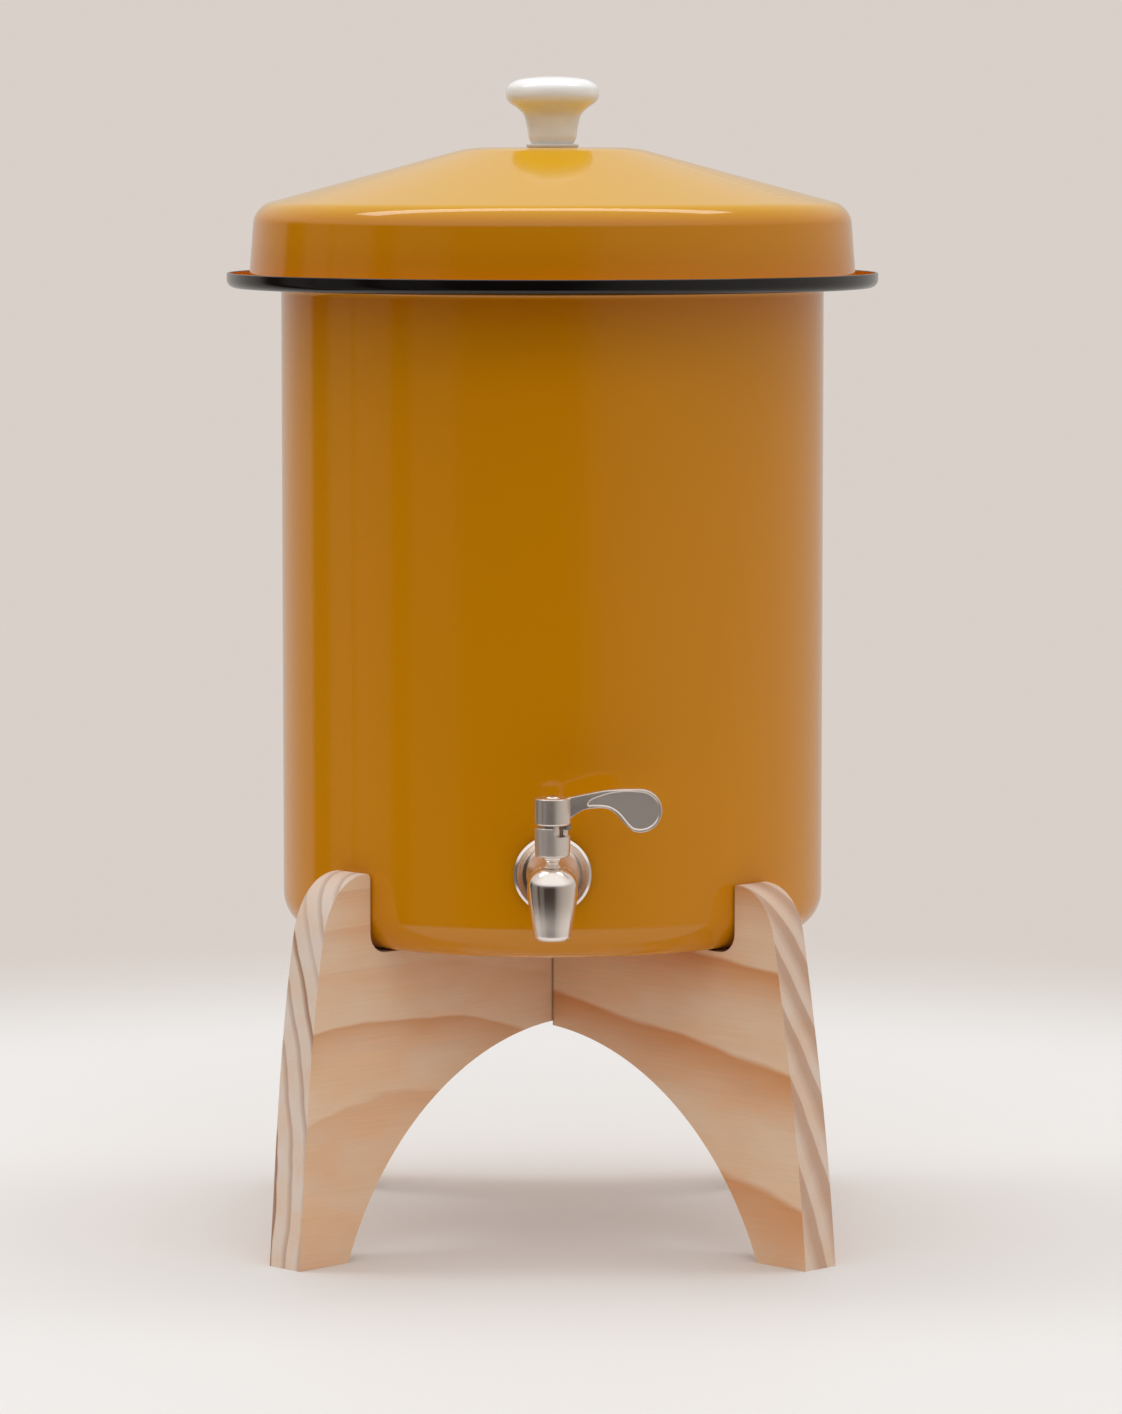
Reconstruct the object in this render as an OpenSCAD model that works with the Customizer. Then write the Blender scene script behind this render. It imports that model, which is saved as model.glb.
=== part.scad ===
// Enamelled steel water filter pot: a clay filter hangs in its mouth under a lid with a knob,
// a quarter-turn tap draws from the bottom, and two crossed pine boards carry it.
// Millimetres. +Z is up, the floor is z = 0, the pot's axis is the Z axis and the tap points to -Y.

/* [Pot] */
// Outside diameter of the pot's body
pot_d = 305; // [290:1:330]
// Height of the pot from its underside to the top of its lip
pot_h = 370.5; // [340:0.5:420]
// Thickness of the enamelled sheet of the pot and the lid
sheet_t = 1; // [0.7:0.1:1.6]
// Outer radius of the corner between the pot's wall and its bottom
pot_corner_r = 21.5; // [12:0.5:30]
// Width of the flange around the mouth, from the body's side to the outside of the lip
flange_w = 30.5; // [27:0.5:38]
// Height of the turned-up lip, outside
lip_h = 8.4; // [7:0.1:14]
// Radius of the bend between the flange and the lip
lip_bend_r = 4.4; // [2.5:0.1:6]
// Radius of the bend between the body and the flange
mouth_bend_r = 4; // [2:0.5:6]

/* [Black rim band] */
// Thickness of the band over the lip
band_t = 0.4; // [0.2:0.1:0.6]
// Width of the band on the flange's underside
band_under_w = 7; // [6.5:0.5:12]

/* [Lid] */
// Gap between the lid's skirt and the lip around it
lid_gap = 11.1; // [6:0.1:14]
// Height of the upright hem at the foot of the skirt
lid_hem_h = 3; // [2:0.5:6]
// Height of the lid's shoulder above the flange it stands on
lid_shoulder_h = 44; // [36:0.5:60]
// How far the skirt leans in between the hem and the shoulder
lid_lean = 3.2; // [1:0.1:6]
// Outer radius of the rounded shoulder
lid_shoulder_r = 13; // [8:0.5:20]
// Slope of the lid's cone in degrees
lid_slope = 15.2; // [11:0.1:18]
// Radius of the flat top of the lid
lid_top_r = 46.4; // [36:0.2:60]
// Radius of the blend between the cone and the flat top
lid_blend_r = 60; // [20:1:100]

/* [Knob] */
// Widest diameter of the knob's cap
knob_d = 52.4; // [44:0.2:60]
// Diameter of the knob's neck
knob_neck_d = 28.2; // [22:0.2:34]
// Height of the knob
knob_h = 37.8; // [30:0.1:46]
// Diameter of the pale washer between the knob and the lid
knob_washer_d = 29.4; // [22:0.2:36]
// Thickness of that washer
knob_washer_t = 2; // [1:0.1:3]
// Thread diameter of the screw that holds the knob
knob_screw_d = 5; // [4:0.5:6]
// Length of that screw under its head
knob_screw_l = 15; // [12:0.5:18]
// Outside diameter of the threaded insert in the knob
insert_d = 7.6; // [7.2:0.1:9]
// Length of the threaded insert
insert_l = 11; // [8:0.5:14]

/* [Clay filter] */
// Gap between the filter's rim and the inside of the lid's skirt
filter_rim_gap = 1.6; // [1:0.1:4]
// Height of the filter's rim above the flange it hangs on
filter_rim_h = 18; // [12:0.5:24]
// Gap between the filter's body and the inside of the pot at the mouth
filter_gap = 5.5; // [4:0.5:10]
// How far the filter hangs below the flange
filter_depth = 240; // [180:1:260]
// How far the filter's side leans in from the mouth to its bottom
filter_lean = 28; // [10:1:40]
// Thickness of the clay
clay_t = 14; // [10:0.5:20]
// Radius of the filter's bottom corner, outside
clay_corner_r = 14; // [6:0.5:20]

/* [Tap body] */
// Height of the tap's shank above the pot's underside
tap_h = 48.5; // [40:0.5:90]
// Distance from the pot's side to the tap's stem axis
tap_reach = 35.5; // [32:0.5:45]
// Diameter of the shank through the pot's wall
shank_d = 16; // [14:0.5:18]
// Clearance around the shank in the pot's wall
shank_play = 0.2; // [0.1:0.1:0.5]
// Diameter of the flange against the pot
tap_flange_d = 42.3; // [38:0.1:46]
// Thickness of that flange at its rim
tap_flange_t = 2.4; // [1.6:0.1:3.5]
// Width of the bevel around that flange
tap_bevel_w = 1.6; // [0.8:0.1:2.4]
// Width of the dished ring between the bevel and the flare
tap_ring_w = 3.2; // [2:0.1:5]
// How far that ring sinks towards the flare
tap_dish_t = 1; // [0:0.1:1.4]
// Diameter of the pipe between the flare and the spout
pipe_d = 14.4; // [13:0.1:15]
// Diameter of the water way through the shank
inlet_d = 7; // [5:0.5:8]
// Widest diameter of the spout
spout_d = 27.4; // [25:0.2:31]
// Distance from the shank's axis down to the spout's mouth
spout_drop = 31.2; // [28:0.2:40]
// Outside diameter of the spout just above its rounded mouth
mouth_d = 20.2; // [19.6:0.1:22]
// Radius of the rounded edge around the mouth
mouth_round_r = 2.4; // [1.2:0.1:2.6]
// Diameter of the outlet bore
outlet_d = 14.4; // [13.8:0.1:15.4]
// Height of the spout's shoulder above the shank's axis
spout_shoulder_h = 8.1; // [7:0.1:10]
// Diameter of the neck inside the bonnet
neck_d = 10.8; // [9.8:0.1:12]
// Diameter of the neck's waist between the spout and the bonnet
waist_d = 7.4; // [6.8:0.1:9]
// Length of the neck that shows
neck_l = 5.6; // [3:0.1:8]

/* [Bonnet] */
// Diameter of the bonnet at its top
bonnet_d = 19.5; // [18:0.1:22]
// Diameter of the bonnet at its foot
bonnet_foot_d = 18.4; // [16:0.1:20]
// Height of the bonnet
bonnet_h = 16; // [15:0.1:20]
// Depth of the stop slot in the bonnet's top
slot_h = 4.7; // [4:0.1:6]
// Length of the thread that holds the bonnet on the neck
neck_thread_l = 4.3; // [3:0.1:6]
// Thickness of the thrust washer in the bonnet
thrust_t = 1.2; // [0.8:0.1:2]

/* [Lever] */
// Diameter of the lever's hub
hub_d = 19.8; // [18:0.1:22]
// Height of the hub
hub_h = 14.6; // [12:0.1:18]
// Gap between the bonnet and the hub
hub_gap = 1.2; // [0.5:0.1:2]
// Distance from the stem's axis to the centre of the paddle
lever_l = 47; // [40:0.1:60]
// Diameter of the paddle
paddle_d = 23.6; // [20:0.2:27]
// Height of the paddle's centre above the hub's foot
paddle_rise = 7.9; // [6:0.1:10]
// Distance from the stem's axis to the start of the lever's sunk face
sunk_start = 18.6; // [15:0.1:24]
// Angle at which that start leans out, in degrees
sunk_tilt = 27; // [0:1:40]
// Thickness of the lever
lever_t = 5.2; // [4:0.1:7]
// Width of the border around the lever's sunk face
border_w = 1.2; // [0.8:0.1:2]
// Depth of the sunk face
sunk_t = 1; // [0.5:0.1:1.5]
// Angle from closed to fully open, in degrees
quarter_turn = 90; // [80:1:100]
// Width of the stop lug under the hub, in degrees
lug_angle = 27; // [20:1:30]
// Height of the stop lug
lug_h = 2.8; // [2:0.1:3.5]
// Diameter of the lever screw's head
lever_screw_head_d = 8.2; // [7:0.1:9]
// Thread diameter of the lever screw
lever_screw_d = 3; // [2.5:0.5:3.5]

/* [Stem and valve plug] */
// Diameter of the stem in the neck
stem_d = 5; // [4.6:0.1:5.4]
// Diameter of the stem's collar in the bonnet
collar_d = 9.4; // [9:0.1:10]
// Height of that collar
collar_h = 2.9; // [2:0.1:3.2]
// Diameter of the stem between its collar and the lever
stem_shaft_d = 7.8; // [7.5:0.1:8.2]
// Width of the square that drives the stem
square_w = 5.2; // [4.8:0.1:5.6]
// Length of that square
square_l = 10; // [9:0.5:11]
// Depth of the screw's hole in the square
screw_hole_l = 8.5; // [7:0.5:9]
// Diameter of the valve plug
plug_d = 13; // [12.4:0.1:13.1]
// Length of the valve plug
plug_l = 15.5; // [14.5:0.1:17]
// Diameter of the hollow up through the plug
plug_hollow_d = 8; // [6:0.1:8.6]
// Thickness of the O-rings on the stem
stem_ring_t = 1; // [0.8:0.1:1.1]
// Thickness of the O-rings on the plug
plug_ring_t = 1.5; // [1.2:0.1:1.6]

/* [Gaskets and nut] */
// Thickness of the outer gasket where it is thinnest
gasket_t = 1.6; // [1:0.1:3]
// Diameter of the outer gasket
gasket_d = 40.5; // [36:0.1:42]
// Diameter of the inner gasket and of the washer behind it
inner_gasket_d = 30; // [26:0.5:34]
// Thickness of the inner gasket where it is thickest
inner_gasket_t = 3; // [2:0.1:4]
// Thickness of the steel washer
nut_washer_t = 1.5; // [1:0.1:2.5]
// Width of the nut across its flats
nut_w = 24; // [22:0.5:27]
// Thickness of the nut
nut_t = 6.5; // [5:0.1:8]
// How far the shank reaches past the nut
shank_end = 3.5; // [1:0.1:8]

/* [Stand] */
// Thickness of the stand's boards
board_t = 24; // [18:0.5:28]
// Height of the seat above the floor
seat_h = 169.5; // [150:0.5:200]
// Gap between the pot's side and the prongs
seat_gap = 0.7; // [0.5:0.1:2]
// Radius of the rounded corners of the seat
seat_corner_r = 11; // [5:0.5:15]
// Distance from the prong's inner face out to the inner edge of the foot
foot_in = 17.5; // [12:0.5:24]
// Distance from the prong's inner face out to the outer edge of the foot
foot_out = 54; // [46:0.5:64]
// Play around each board in the other board's slot
slot_play = 0.15; // [0.1:0.05:0.3]
// Rise of the arch under the left board
left_arch_h = 118; // [100:0.5:125]
// Rise of the arch under the right board
right_arch_h = 115.5; // [100:0.5:125]
// Height of the left board's prongs above the seat
left_prong_h = 44.5; // [32:0.5:55]
// Height of the right board's prongs above the seat
right_prong_h = 38; // [28:0.5:55]
// Width of the left board's prongs at their shoulder
left_shoulder_w = 35.3; // [30:0.1:40]
// Width of the right board's prongs at their shoulder
right_shoulder_w = 29.3; // [26:0.1:40]
// Radius of the left board's inner prong corners
left_crown_r = 3; // [1:0.1:5]
// Radius of the right board's inner prong corners
right_crown_r = 1; // [0.5:0.1:5]

/* [Hidden] */

$fn = 96;
enamel = [0.80, 0.52, 0.09];
black_enamel = [0.07, 0.07, 0.07];
pine = [0.86, 0.69, 0.50];
stainless = [0.76, 0.75, 0.74];
rubber = [0.12, 0.12, 0.12];
clay = [0.76, 0.43, 0.30];
white_glaze = [0.93, 0.92, 0.90];
clear_plastic = [0.88, 0.87, 0.82];
brass = [0.78, 0.62, 0.32];
ptfe = [0.95, 0.95, 0.93];

// Clearances and small sizes that several pieces share
running_gap = 0.05;
thread_gap = 0.05;
rest_gap = 0.05;
through_cut = 1;
wall_cut = 10;
edge_r = 0.8;

// Pot: the sheet's outside runs up the body, out along the flange and up the lip
pot_z = seat_h + rest_gap;
pot_r = pot_d / 2;
flange_r = pot_r + flange_w;
lip_r = flange_r - band_t;
pot_top_z = pot_z + pot_h;
flange_z = pot_top_z - lip_h + band_t;
flange_floor_z = flange_z + sheet_t;
pot_inner_r = pot_r - sheet_t;

// Lid: it stands on the flange inside the lip
lid_r = lip_r - sheet_t - lid_gap;
lid_z = flange_floor_z;
lid_shoulder_x = lid_r - lid_lean;
lid_shoulder_z = lid_z + lid_shoulder_h;
lid_top_z = lid_shoulder_z + (lid_shoulder_x - lid_top_r) * tan(lid_slope);

// Knob: washer, knob and insert stand on the lid, screw and its washer are under it
knob_z = lid_top_z + knob_washer_t;
knob_hole_r = knob_screw_d / 2 + 0.25;
knob_screw_head_r = knob_screw_d * 0.95;
knob_screw_head_h = knob_screw_d * 0.6;
screw_washer_r = knob_screw_d * 1.3;
screw_washer_t = 1;
insert_sink = 0.3;
screw_head_z = lid_top_z - sheet_t - screw_washer_t;

// Clay filter: its rim hangs on the flange inside the lid's skirt
filter_rim_r = lid_shoulder_x - sheet_t - filter_rim_gap;
filter_top_r = pot_inner_r - filter_gap;
filter_z = flange_floor_z - filter_depth;
clay_rim_r = 5;

// Tap, measured from the crossing of the stem's axis and the shank's axis
tap_y = pot_r + tap_reach;
tap_z = pot_z + tap_h;
flange_back_y = pot_r + gasket_t;
flange_front_y = flange_back_y + tap_flange_t;
bonnet_z = spout_shoulder_h + neck_l;
neck_top_z = bonnet_z + neck_thread_l;
bonnet_top_z = bonnet_z + bonnet_h;
hub_z = bonnet_top_z + hub_gap;
hub_top_z = hub_z + hub_h;
waist_z = spout_shoulder_h + 2;
collar_z = neck_top_z + thrust_t + 2 * running_gap;
collar_top_z = collar_z + collar_h;
well_z = bonnet_top_z - slot_h - 1;
square_top_z = hub_z + square_l;
plug_top_z = spout_shoulder_h - 2.1;
plug_z = plug_top_z - plug_l;
plug_roof_t = 2.6;
chamber_top_z = plug_top_z + 0.2;
chamber_z = plug_z - 0.5;
screw_sink = 0.8;
window_d = inlet_d - 0.6;

// Stop: the lug under the hub runs in the bonnet's slot
lug_centre = 17;
stop_play = 1.5;
lug_r = 7;
well_r = lug_r - 0.2;

// Fixing inside the pot, measured from the pot's axis towards the tap
inner_gasket_y = pot_inner_r - inner_gasket_t;
nut_washer_y = inner_gasket_y - nut_washer_t;
nut_y = nut_washer_y - nut_t;
shank_y = nut_y - shank_end;

// Stand
prong_x = pot_r + seat_gap;
lap_z = (seat_h + max(left_arch_h, right_arch_h)) / 2;
shoulder_above_seat = 11.5;
foot_slope = 0.08;
shoulder_slope = 0.18;

// Shape of the knob: [share of the way from neck to widest, share of the height]
knob_shape = [[-0.2, 0], [-0.12, 0.04], [-0.04, 0.11], [0, 0.21], [0.08, 0.34], [0.19, 0.44], [0.47, 0.53],
    [0.81, 0.604], [0.97, 0.68], [1, 0.755], [0.93, 0.845], [0.7, 0.91], [0.3, 0.96], [-0.5, 0.993]];

// Shape of the lever's arm: [share of its length, share of the paddle's radius]
arm_top = [[0.12, 0.56], [0.4, 0.79], [0.58, 0.93], [0.75, 0.99], [0.88, 0.995], [1, 0.96]];
arm_under = [[0.12, -0.52], [0.2, -0.36], [0.34, 0.01], [0.47, 0.1], [0.61, 0.09], [0.72, -0.15],
    [0.82, -0.6], [0.9, -0.9]];

function unit(v) = v / norm(v);
function left_of(v) = [-v.y, v.x];
function reverse(list) = [for (i = [len(list) - 1:-1:0]) list[i]];

// Points of a round corner at b on the way from a to c
function corner(a, b, c, r, n) =
    let (u = unit(a - b), v = unit(c - b), half = acos(u * v) / 2,
        centre = b + unit(u + v) * r / sin(half),
        from = b + u * r / tan(half) - centre, to = b + v * r / tan(half) - centre,
        start = atan2(from.y, from.x), turn = atan2(cross(from, to), from * to))
    [for (i = [0:n]) centre + r * [cos(start + turn * i / n), sin(start + turn * i / n)]];

// A path with its corners rounded to the radii given for each point
function rounded(path, radii, n = 8) =
    [for (i = [0:len(path) - 1])
        each (radii[i] > 0 ? corner(path[i - 1], path[i], path[i + 1], radii[i], n) : [path[i]])];

// A path moved to its left by w
function moved(path, w) =
    let (last = len(path) - 1)
    [for (i = [0:last])
        let (m = left_of(unit(path[max(i, 1)] - path[max(i, 1) - 1])),
            n = left_of(unit(path[min(i, last - 1) + 1] - path[min(i, last - 1)])))
        path[i] + (m + n) * w / (1 + m * n)];

// Outline of a bent sheet whose outside follows the path and whose thickness lies to its left
function sheet(path, radii, t) =
    let (last = len(path) - 1,
        inner = [for (i = [0:last])
            radii[i] == 0 ? 0
            : cross(path[i] - path[i - 1], path[i + 1] - path[i]) > 0 ? radii[i] - t : radii[i] + t])
    concat(rounded(path, radii), reverse(rounded(moved(path, t), inner)));

// Smooth curve through points, with n steps between each two
function curve(p, n = 4) =
    let (last = len(p) - 1)
    [for (i = [0:last - 1], k = [0:(i == last - 1 ? n : n - 1)])
        let (s = k / n, a = p[max(i - 1, 0)], b = p[i], c = p[i + 1], d = p[min(i + 2, last)])
        0.5 * (2 * b + (c - a) * s + (2 * a - 5 * b + 4 * c - d) * pow(s, 2)
            + (3 * b - a - 3 * c + d) * pow(s, 3))];

function bezier(a, b, c, d, n = 8) =
    [for (i = [0:n]) let (s = i / n)
        a * pow(1 - s, 3) + 3 * b * s * pow(1 - s, 2) + 3 * c * pow(s, 2) * (1 - s) + d * pow(s, 3)];

// Moves a piece drawn around the stem's axis to the tap
module at_tap() {
    translate([0, -tap_y, tap_z]) children();
}

// Lays a piece drawn along Z on the shank's axis, so that z is the distance from the pot's axis
module along_shank() {
    translate([0, 0, tap_z]) rotate([90, 0, 0]) children();
}

module ring(r_out, r_in, h) {
    difference() {
        cylinder(r = r_out, h = h);
        translate([0, 0, -through_cut]) cylinder(r = r_in, h = h + 2 * through_cut);
    }
}

module o_ring(r_out, t) {
    rotate_extrude() translate([r_out - t / 2, 0]) circle(d = t, $fn = 32);
}

// Groove for an O-ring, cut into a shaft whose radius is r
module o_groove(r, t) {
    translate([0, 0, -t * 0.55]) ring(r + through_cut, r - t, t * 1.1);
}

// Part of a ring that starts at an angle and goes round by the sweep
module ring_sector(r_out, r_in, from, sweep, h) {
    far = 3 * r_out;
    linear_extrude(h) difference() {
        intersection() {
            circle(r = r_out);
            polygon(concat([[0, 0]],
                [for (i = [0:3]) let (a = from + sweep * i / 3) far * [cos(a), sin(a)]]));
        }
        circle(r = r_in);
    }
}

// Stand

// Outer edge of a leg from the floor to its crown, as [out from the prong's inner face, up]
function leg_edge(shoulder_w, top_z, crown_r) =
    let (foot = [foot_out, 0], shoulder = [shoulder_w, seat_h + shoulder_above_seat],
        crown = [crown_r, top_z], third = shoulder.y / 3, round = 0.55 * (top_z - shoulder.y))
    concat(
        bezier(foot, foot + [-foot_slope * third, third],
            shoulder + [shoulder_slope * third, -third], shoulder),
        bezier(shoulder, shoulder + [-shoulder_slope * round, round],
            crown + [0.55 * (shoulder.x - crown.x), 0], crown),
        corner(crown, [0, top_z], [0, seat_h], crown_r, 6));

module seat_cut(top_z) {
    translate([seat_corner_r - prong_x, seat_h])
        square([2 * (prong_x - seat_corner_r), top_z]);
    translate([-prong_x, seat_h + seat_corner_r]) square([2 * prong_x, top_z]);
    for (side = [-1, 1])
        translate([side * (prong_x - seat_corner_r), seat_h + seat_corner_r]) circle(r = seat_corner_r);
}

// Both legs of a board, its arch below and its seat above
module board_face(shoulder_w, prong_h, arch_h, crown_r) {
    edge = leg_edge(shoulder_w, seat_h + prong_h, crown_r);
    half_span = prong_x + foot_in;
    arch_r = (pow(half_span, 2) + pow(arch_h, 2)) / (2 * arch_h);
    difference() {
        polygon(concat([for (p = edge) [prong_x + p.x, p.y]],
            reverse([for (p = edge) [-prong_x - p.x, p.y]])));
        seat_cut(prong_h);
        translate([0, arch_h - arch_r]) circle(r = arch_r, $fn = 200);
    }
}

module board(turn, shoulder_w, prong_h, arch_h, crown_r, slot_z, slot_top) {
    slot_w = board_t + 2 * slot_play;
    rotate([0, 0, turn]) difference() {
        rotate([90, 0, 0]) linear_extrude(board_t, center = true)
            board_face(shoulder_w, prong_h, arch_h, crown_r);
        translate([-slot_w / 2, -board_t, slot_z]) cube([slot_w, 2 * board_t, slot_top - slot_z]);
    }
}

// Front-left to back-right board, slotted from above
module stand_board_left() {
    color(pine)
        board(45, left_shoulder_w, left_prong_h, left_arch_h, left_crown_r, lap_z, seat_h + through_cut);
}

// Front-right to back-left board, slotted from below
module stand_board_right() {
    color(pine)
        board(-45, right_shoulder_w, right_prong_h, right_arch_h, right_crown_r, 0, lap_z);
}

// Pot

module pot_body() {
    path = [[0, pot_z], [pot_r, pot_z], [pot_r, flange_z], [lip_r, flange_z], [lip_r, pot_top_z - band_t]];
    color(enamel) difference() {
        rotate_extrude($fn = 180)
            polygon(sheet(path, [0, pot_corner_r, mouth_bend_r, lip_bend_r, 0], sheet_t));
        along_shank() translate([0, 0, pot_r - wall_cut / 2])
            cylinder(r = shank_d / 2 + shank_play, h = wall_cut);
    }
}

module rim_band() {
    z = flange_z - band_t;
    path = [[flange_r - band_under_w, z], [flange_r, z], [flange_r, pot_top_z],
        [lip_r - sheet_t, pot_top_z]];
    color(black_enamel)
        rotate_extrude($fn = 180) polygon(sheet(path, [0, lip_bend_r + band_t, band_t + 0.01, 0], band_t));
}

// Tap

// Turned outside of the spout and its waisted neck
function spout_outline() =
    let (r = spout_d / 2, wide_z = -2.5, lip_z = mouth_round_r + 0.4 - spout_drop, mouth_r = mouth_d / 2)
    concat(
        [[0, neck_top_z], [neck_d / 2, neck_top_z]],
        bezier([neck_d / 2, bonnet_z], [neck_d / 2 - 0.2, bonnet_z - 1.8], [waist_d / 2, waist_z + 1],
            [waist_d / 2, waist_z], 6),
        [[neck_d / 2, spout_shoulder_h]],
        bezier([neck_d / 2 + 1.4, spout_shoulder_h], [neck_d / 2 + 4.6, spout_shoulder_h - 1.6],
            [r, wide_z + 5.5], [r, wide_z], 10),
        bezier([r, wide_z], [r, wide_z - 8], [mouth_r + 1.2, lip_z + 7.5], [mouth_r, lip_z], 10),
        corner([mouth_r, lip_z], [mouth_r - 0.5, -spout_drop], [0, -spout_drop], mouth_round_r, 5),
        [[0, -spout_drop]]);

// Shank, bevelled and dished flange and the bell-shaped flare between the flange and the spout
function shank_outline() =
    let (r = shank_d / 2, pipe_r = pipe_d / 2, rim_r = tap_flange_d / 2,
        bell_r = rim_r - tap_bevel_w - tap_ring_w, bell_y = flange_front_y - tap_dish_t)
    concat(
        [[0, shank_y], [r - edge_r, shank_y], [r, shank_y + edge_r], [r, flange_back_y],
            [rim_r, flange_back_y], [rim_r, flange_front_y - tap_flange_t / 2],
            [rim_r - tap_bevel_w, flange_front_y]],
        bezier([bell_r, bell_y], [bell_r - 2, bell_y + 4.5], [pipe_r + 2.4, bell_y + 10],
            [pipe_r, tap_y - spout_d / 2]),
        [[pipe_r, tap_y - pipe_r], [0, tap_y - pipe_r]]);

module tap_body() {
    color(stainless) difference() {
        union() {
            at_tap() rotate_extrude() polygon(spout_outline());
            along_shank() rotate_extrude() polygon(shank_outline());
        }
        at_tap() {
            translate([0, 0, -spout_drop - through_cut])
                cylinder(d = outlet_d, h = chamber_z + spout_drop + through_cut);
            translate([0, 0, chamber_z])
                cylinder(r = plug_d / 2 + running_gap, h = chamber_top_z - chamber_z);
            cylinder(r = stem_d / 2 + running_gap, h = neck_top_z + through_cut);
        }
        along_shank() translate([0, 0, shank_y - through_cut])
            cylinder(d = inlet_d, h = tap_y - shank_y + through_cut);
    }
}

// Cap on the neck, with the slot that stops the lever
module tap_bonnet() {
    wide = bonnet_d / 2;
    foot = bonnet_foot_d / 2;
    outline = rounded([[0, bonnet_z], [foot, bonnet_z], [wide, bonnet_top_z - slot_h],
        [wide, bonnet_top_z], [0, bonnet_top_z]], [0, 1.6, 0, 0.4, 0], 5);
    color(stainless) at_tap() difference() {
        rotate_extrude() polygon(outline);
        translate([0, 0, bonnet_z - through_cut])
            cylinder(r = neck_d / 2 + thread_gap, h = neck_thread_l + thrust_t + through_cut);
        translate([0, 0, bonnet_z])
            cylinder(r = collar_d / 2 + running_gap, h = collar_top_z + running_gap - bonnet_z);
        translate([0, 0, bonnet_z]) cylinder(r = stem_shaft_d / 2 + running_gap, h = bonnet_h);
        translate([0, 0, well_z]) cylinder(r = well_r, h = bonnet_h);
        translate([0, 0, bonnet_top_z - slot_h])
            ring_sector(wide + through_cut, well_r - 2 * running_gap,
                lug_centre - lug_angle / 2 - quarter_turn - stop_play,
                quarter_turn + lug_angle + 2 * stop_play, slot_h + through_cut);
    }
}

module thrust_washer() {
    color(ptfe) at_tap() translate([0, 0, neck_top_z])
        ring(neck_d / 2, stem_d / 2 + running_gap, thrust_t);
}

// Lever

// The arm's two edges, moved in by the given border
function arm_outline(border) =
    let (size = [lever_l, paddle_d / 2], rise = [0, hub_z + paddle_rise],
        top = curve([for (p = arm_top) [p.x * size.x, p.y * size.y] + rise]),
        under = curve([for (p = arm_under) [p.x * size.x, p.y * size.y] + rise]))
    concat(moved(top, -border), reverse(moved(under, border)));

module lever_face(border) {
    polygon(arm_outline(border));
    translate([lever_l, hub_z + paddle_rise]) circle(r = paddle_d / 2 - border);
}

module tap_lever() {
    hub_outline = rounded([[0, hub_z], [hub_d / 2, hub_z], [hub_d / 2, hub_top_z], [0, hub_top_z]],
        [0, 1.5, 0.6, 0], 5);
    color(stainless) at_tap() difference() {
        union() {
            rotate_extrude() polygon(hub_outline);
            rotate([90, 0, 0]) linear_extrude(lever_t, center = true) lever_face(0);
            translate([0, 0, hub_z - lug_h])
                ring_sector(bonnet_d / 2, lug_r, lug_centre - lug_angle / 2, lug_angle, lug_h + edge_r);
        }
        translate([0, 0, hub_z - through_cut]) linear_extrude(square_top_z - hub_z + through_cut)
            square(square_w + 2 * thread_gap, center = true);
        cylinder(r = lever_screw_d / 2 + 0.2, h = hub_top_z + through_cut);
        translate([0, 0, hub_top_z - screw_sink])
            cylinder(r = lever_screw_head_d / 2 + 0.2, h = screw_sink + through_cut);
        translate([0, -lever_t / 2 + sunk_t, 0]) rotate([90, 0, 0]) linear_extrude(lever_t)
            intersection() {
                lever_face(border_w);
                translate([sunk_start, hub_z + paddle_rise]) rotate(-sunk_tilt)
                    translate([0, -lever_l]) square(2 * lever_l);
            }
    }
}

module lever_screw() {
    r = lever_screw_head_d / 2;
    z = hub_top_z - screw_sink;
    rim_z = z + 0.9;
    tip_z = square_top_z - screw_hole_l + 1;
    dome = bezier([r, rim_z], [r - 0.2, rim_z + 0.8], [r / 2, rim_z + 1.5], [0, rim_z + 1.5], 6);
    shank_r = lever_screw_d / 2;
    color(stainless) at_tap()
        rotate_extrude() polygon(concat([[0, tip_z], [shank_r, tip_z], [shank_r, z], [r, z]], dome));
}

// Stem: tenon in the plug, journal in the neck, collar held down by the bonnet, square in the hub
module tap_stem() {
    r = stem_d / 2;
    color(stainless) at_tap() difference() {
        union() {
            translate([0, 0, plug_top_z - plug_roof_t]) cylinder(r = r - 0.6, h = plug_roof_t);
            translate([0, 0, plug_top_z]) cylinder(r = r, h = collar_z - plug_top_z);
            translate([0, 0, collar_z]) cylinder(d = collar_d, h = collar_h);
            translate([0, 0, collar_top_z]) cylinder(d = stem_shaft_d, h = hub_z - collar_top_z);
            translate([0, 0, hub_z]) linear_extrude(square_top_z - hub_z) square(square_w, center = true);
        }
        for (z = stem_ring_z) translate([0, 0, z]) o_groove(r, stem_ring_t);
        translate([0, 0, square_top_z - screw_hole_l])
            cylinder(r = lever_screw_d / 2 + thread_gap, h = screw_hole_l + through_cut);
    }
}

// O-rings of the stem, in the neck
stem_ring_z = [neck_top_z - 6.6, neck_top_z - 3];

module stem_o_rings() {
    color(rubber) at_tap() for (z = stem_ring_z) translate([0, 0, z]) o_ring(stem_d / 2, stem_ring_t);
}

// O-rings of the plug, above and below its window
plug_ring_z = [window_d / 2 + 1.6, -window_d / 2 - 2];

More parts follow.
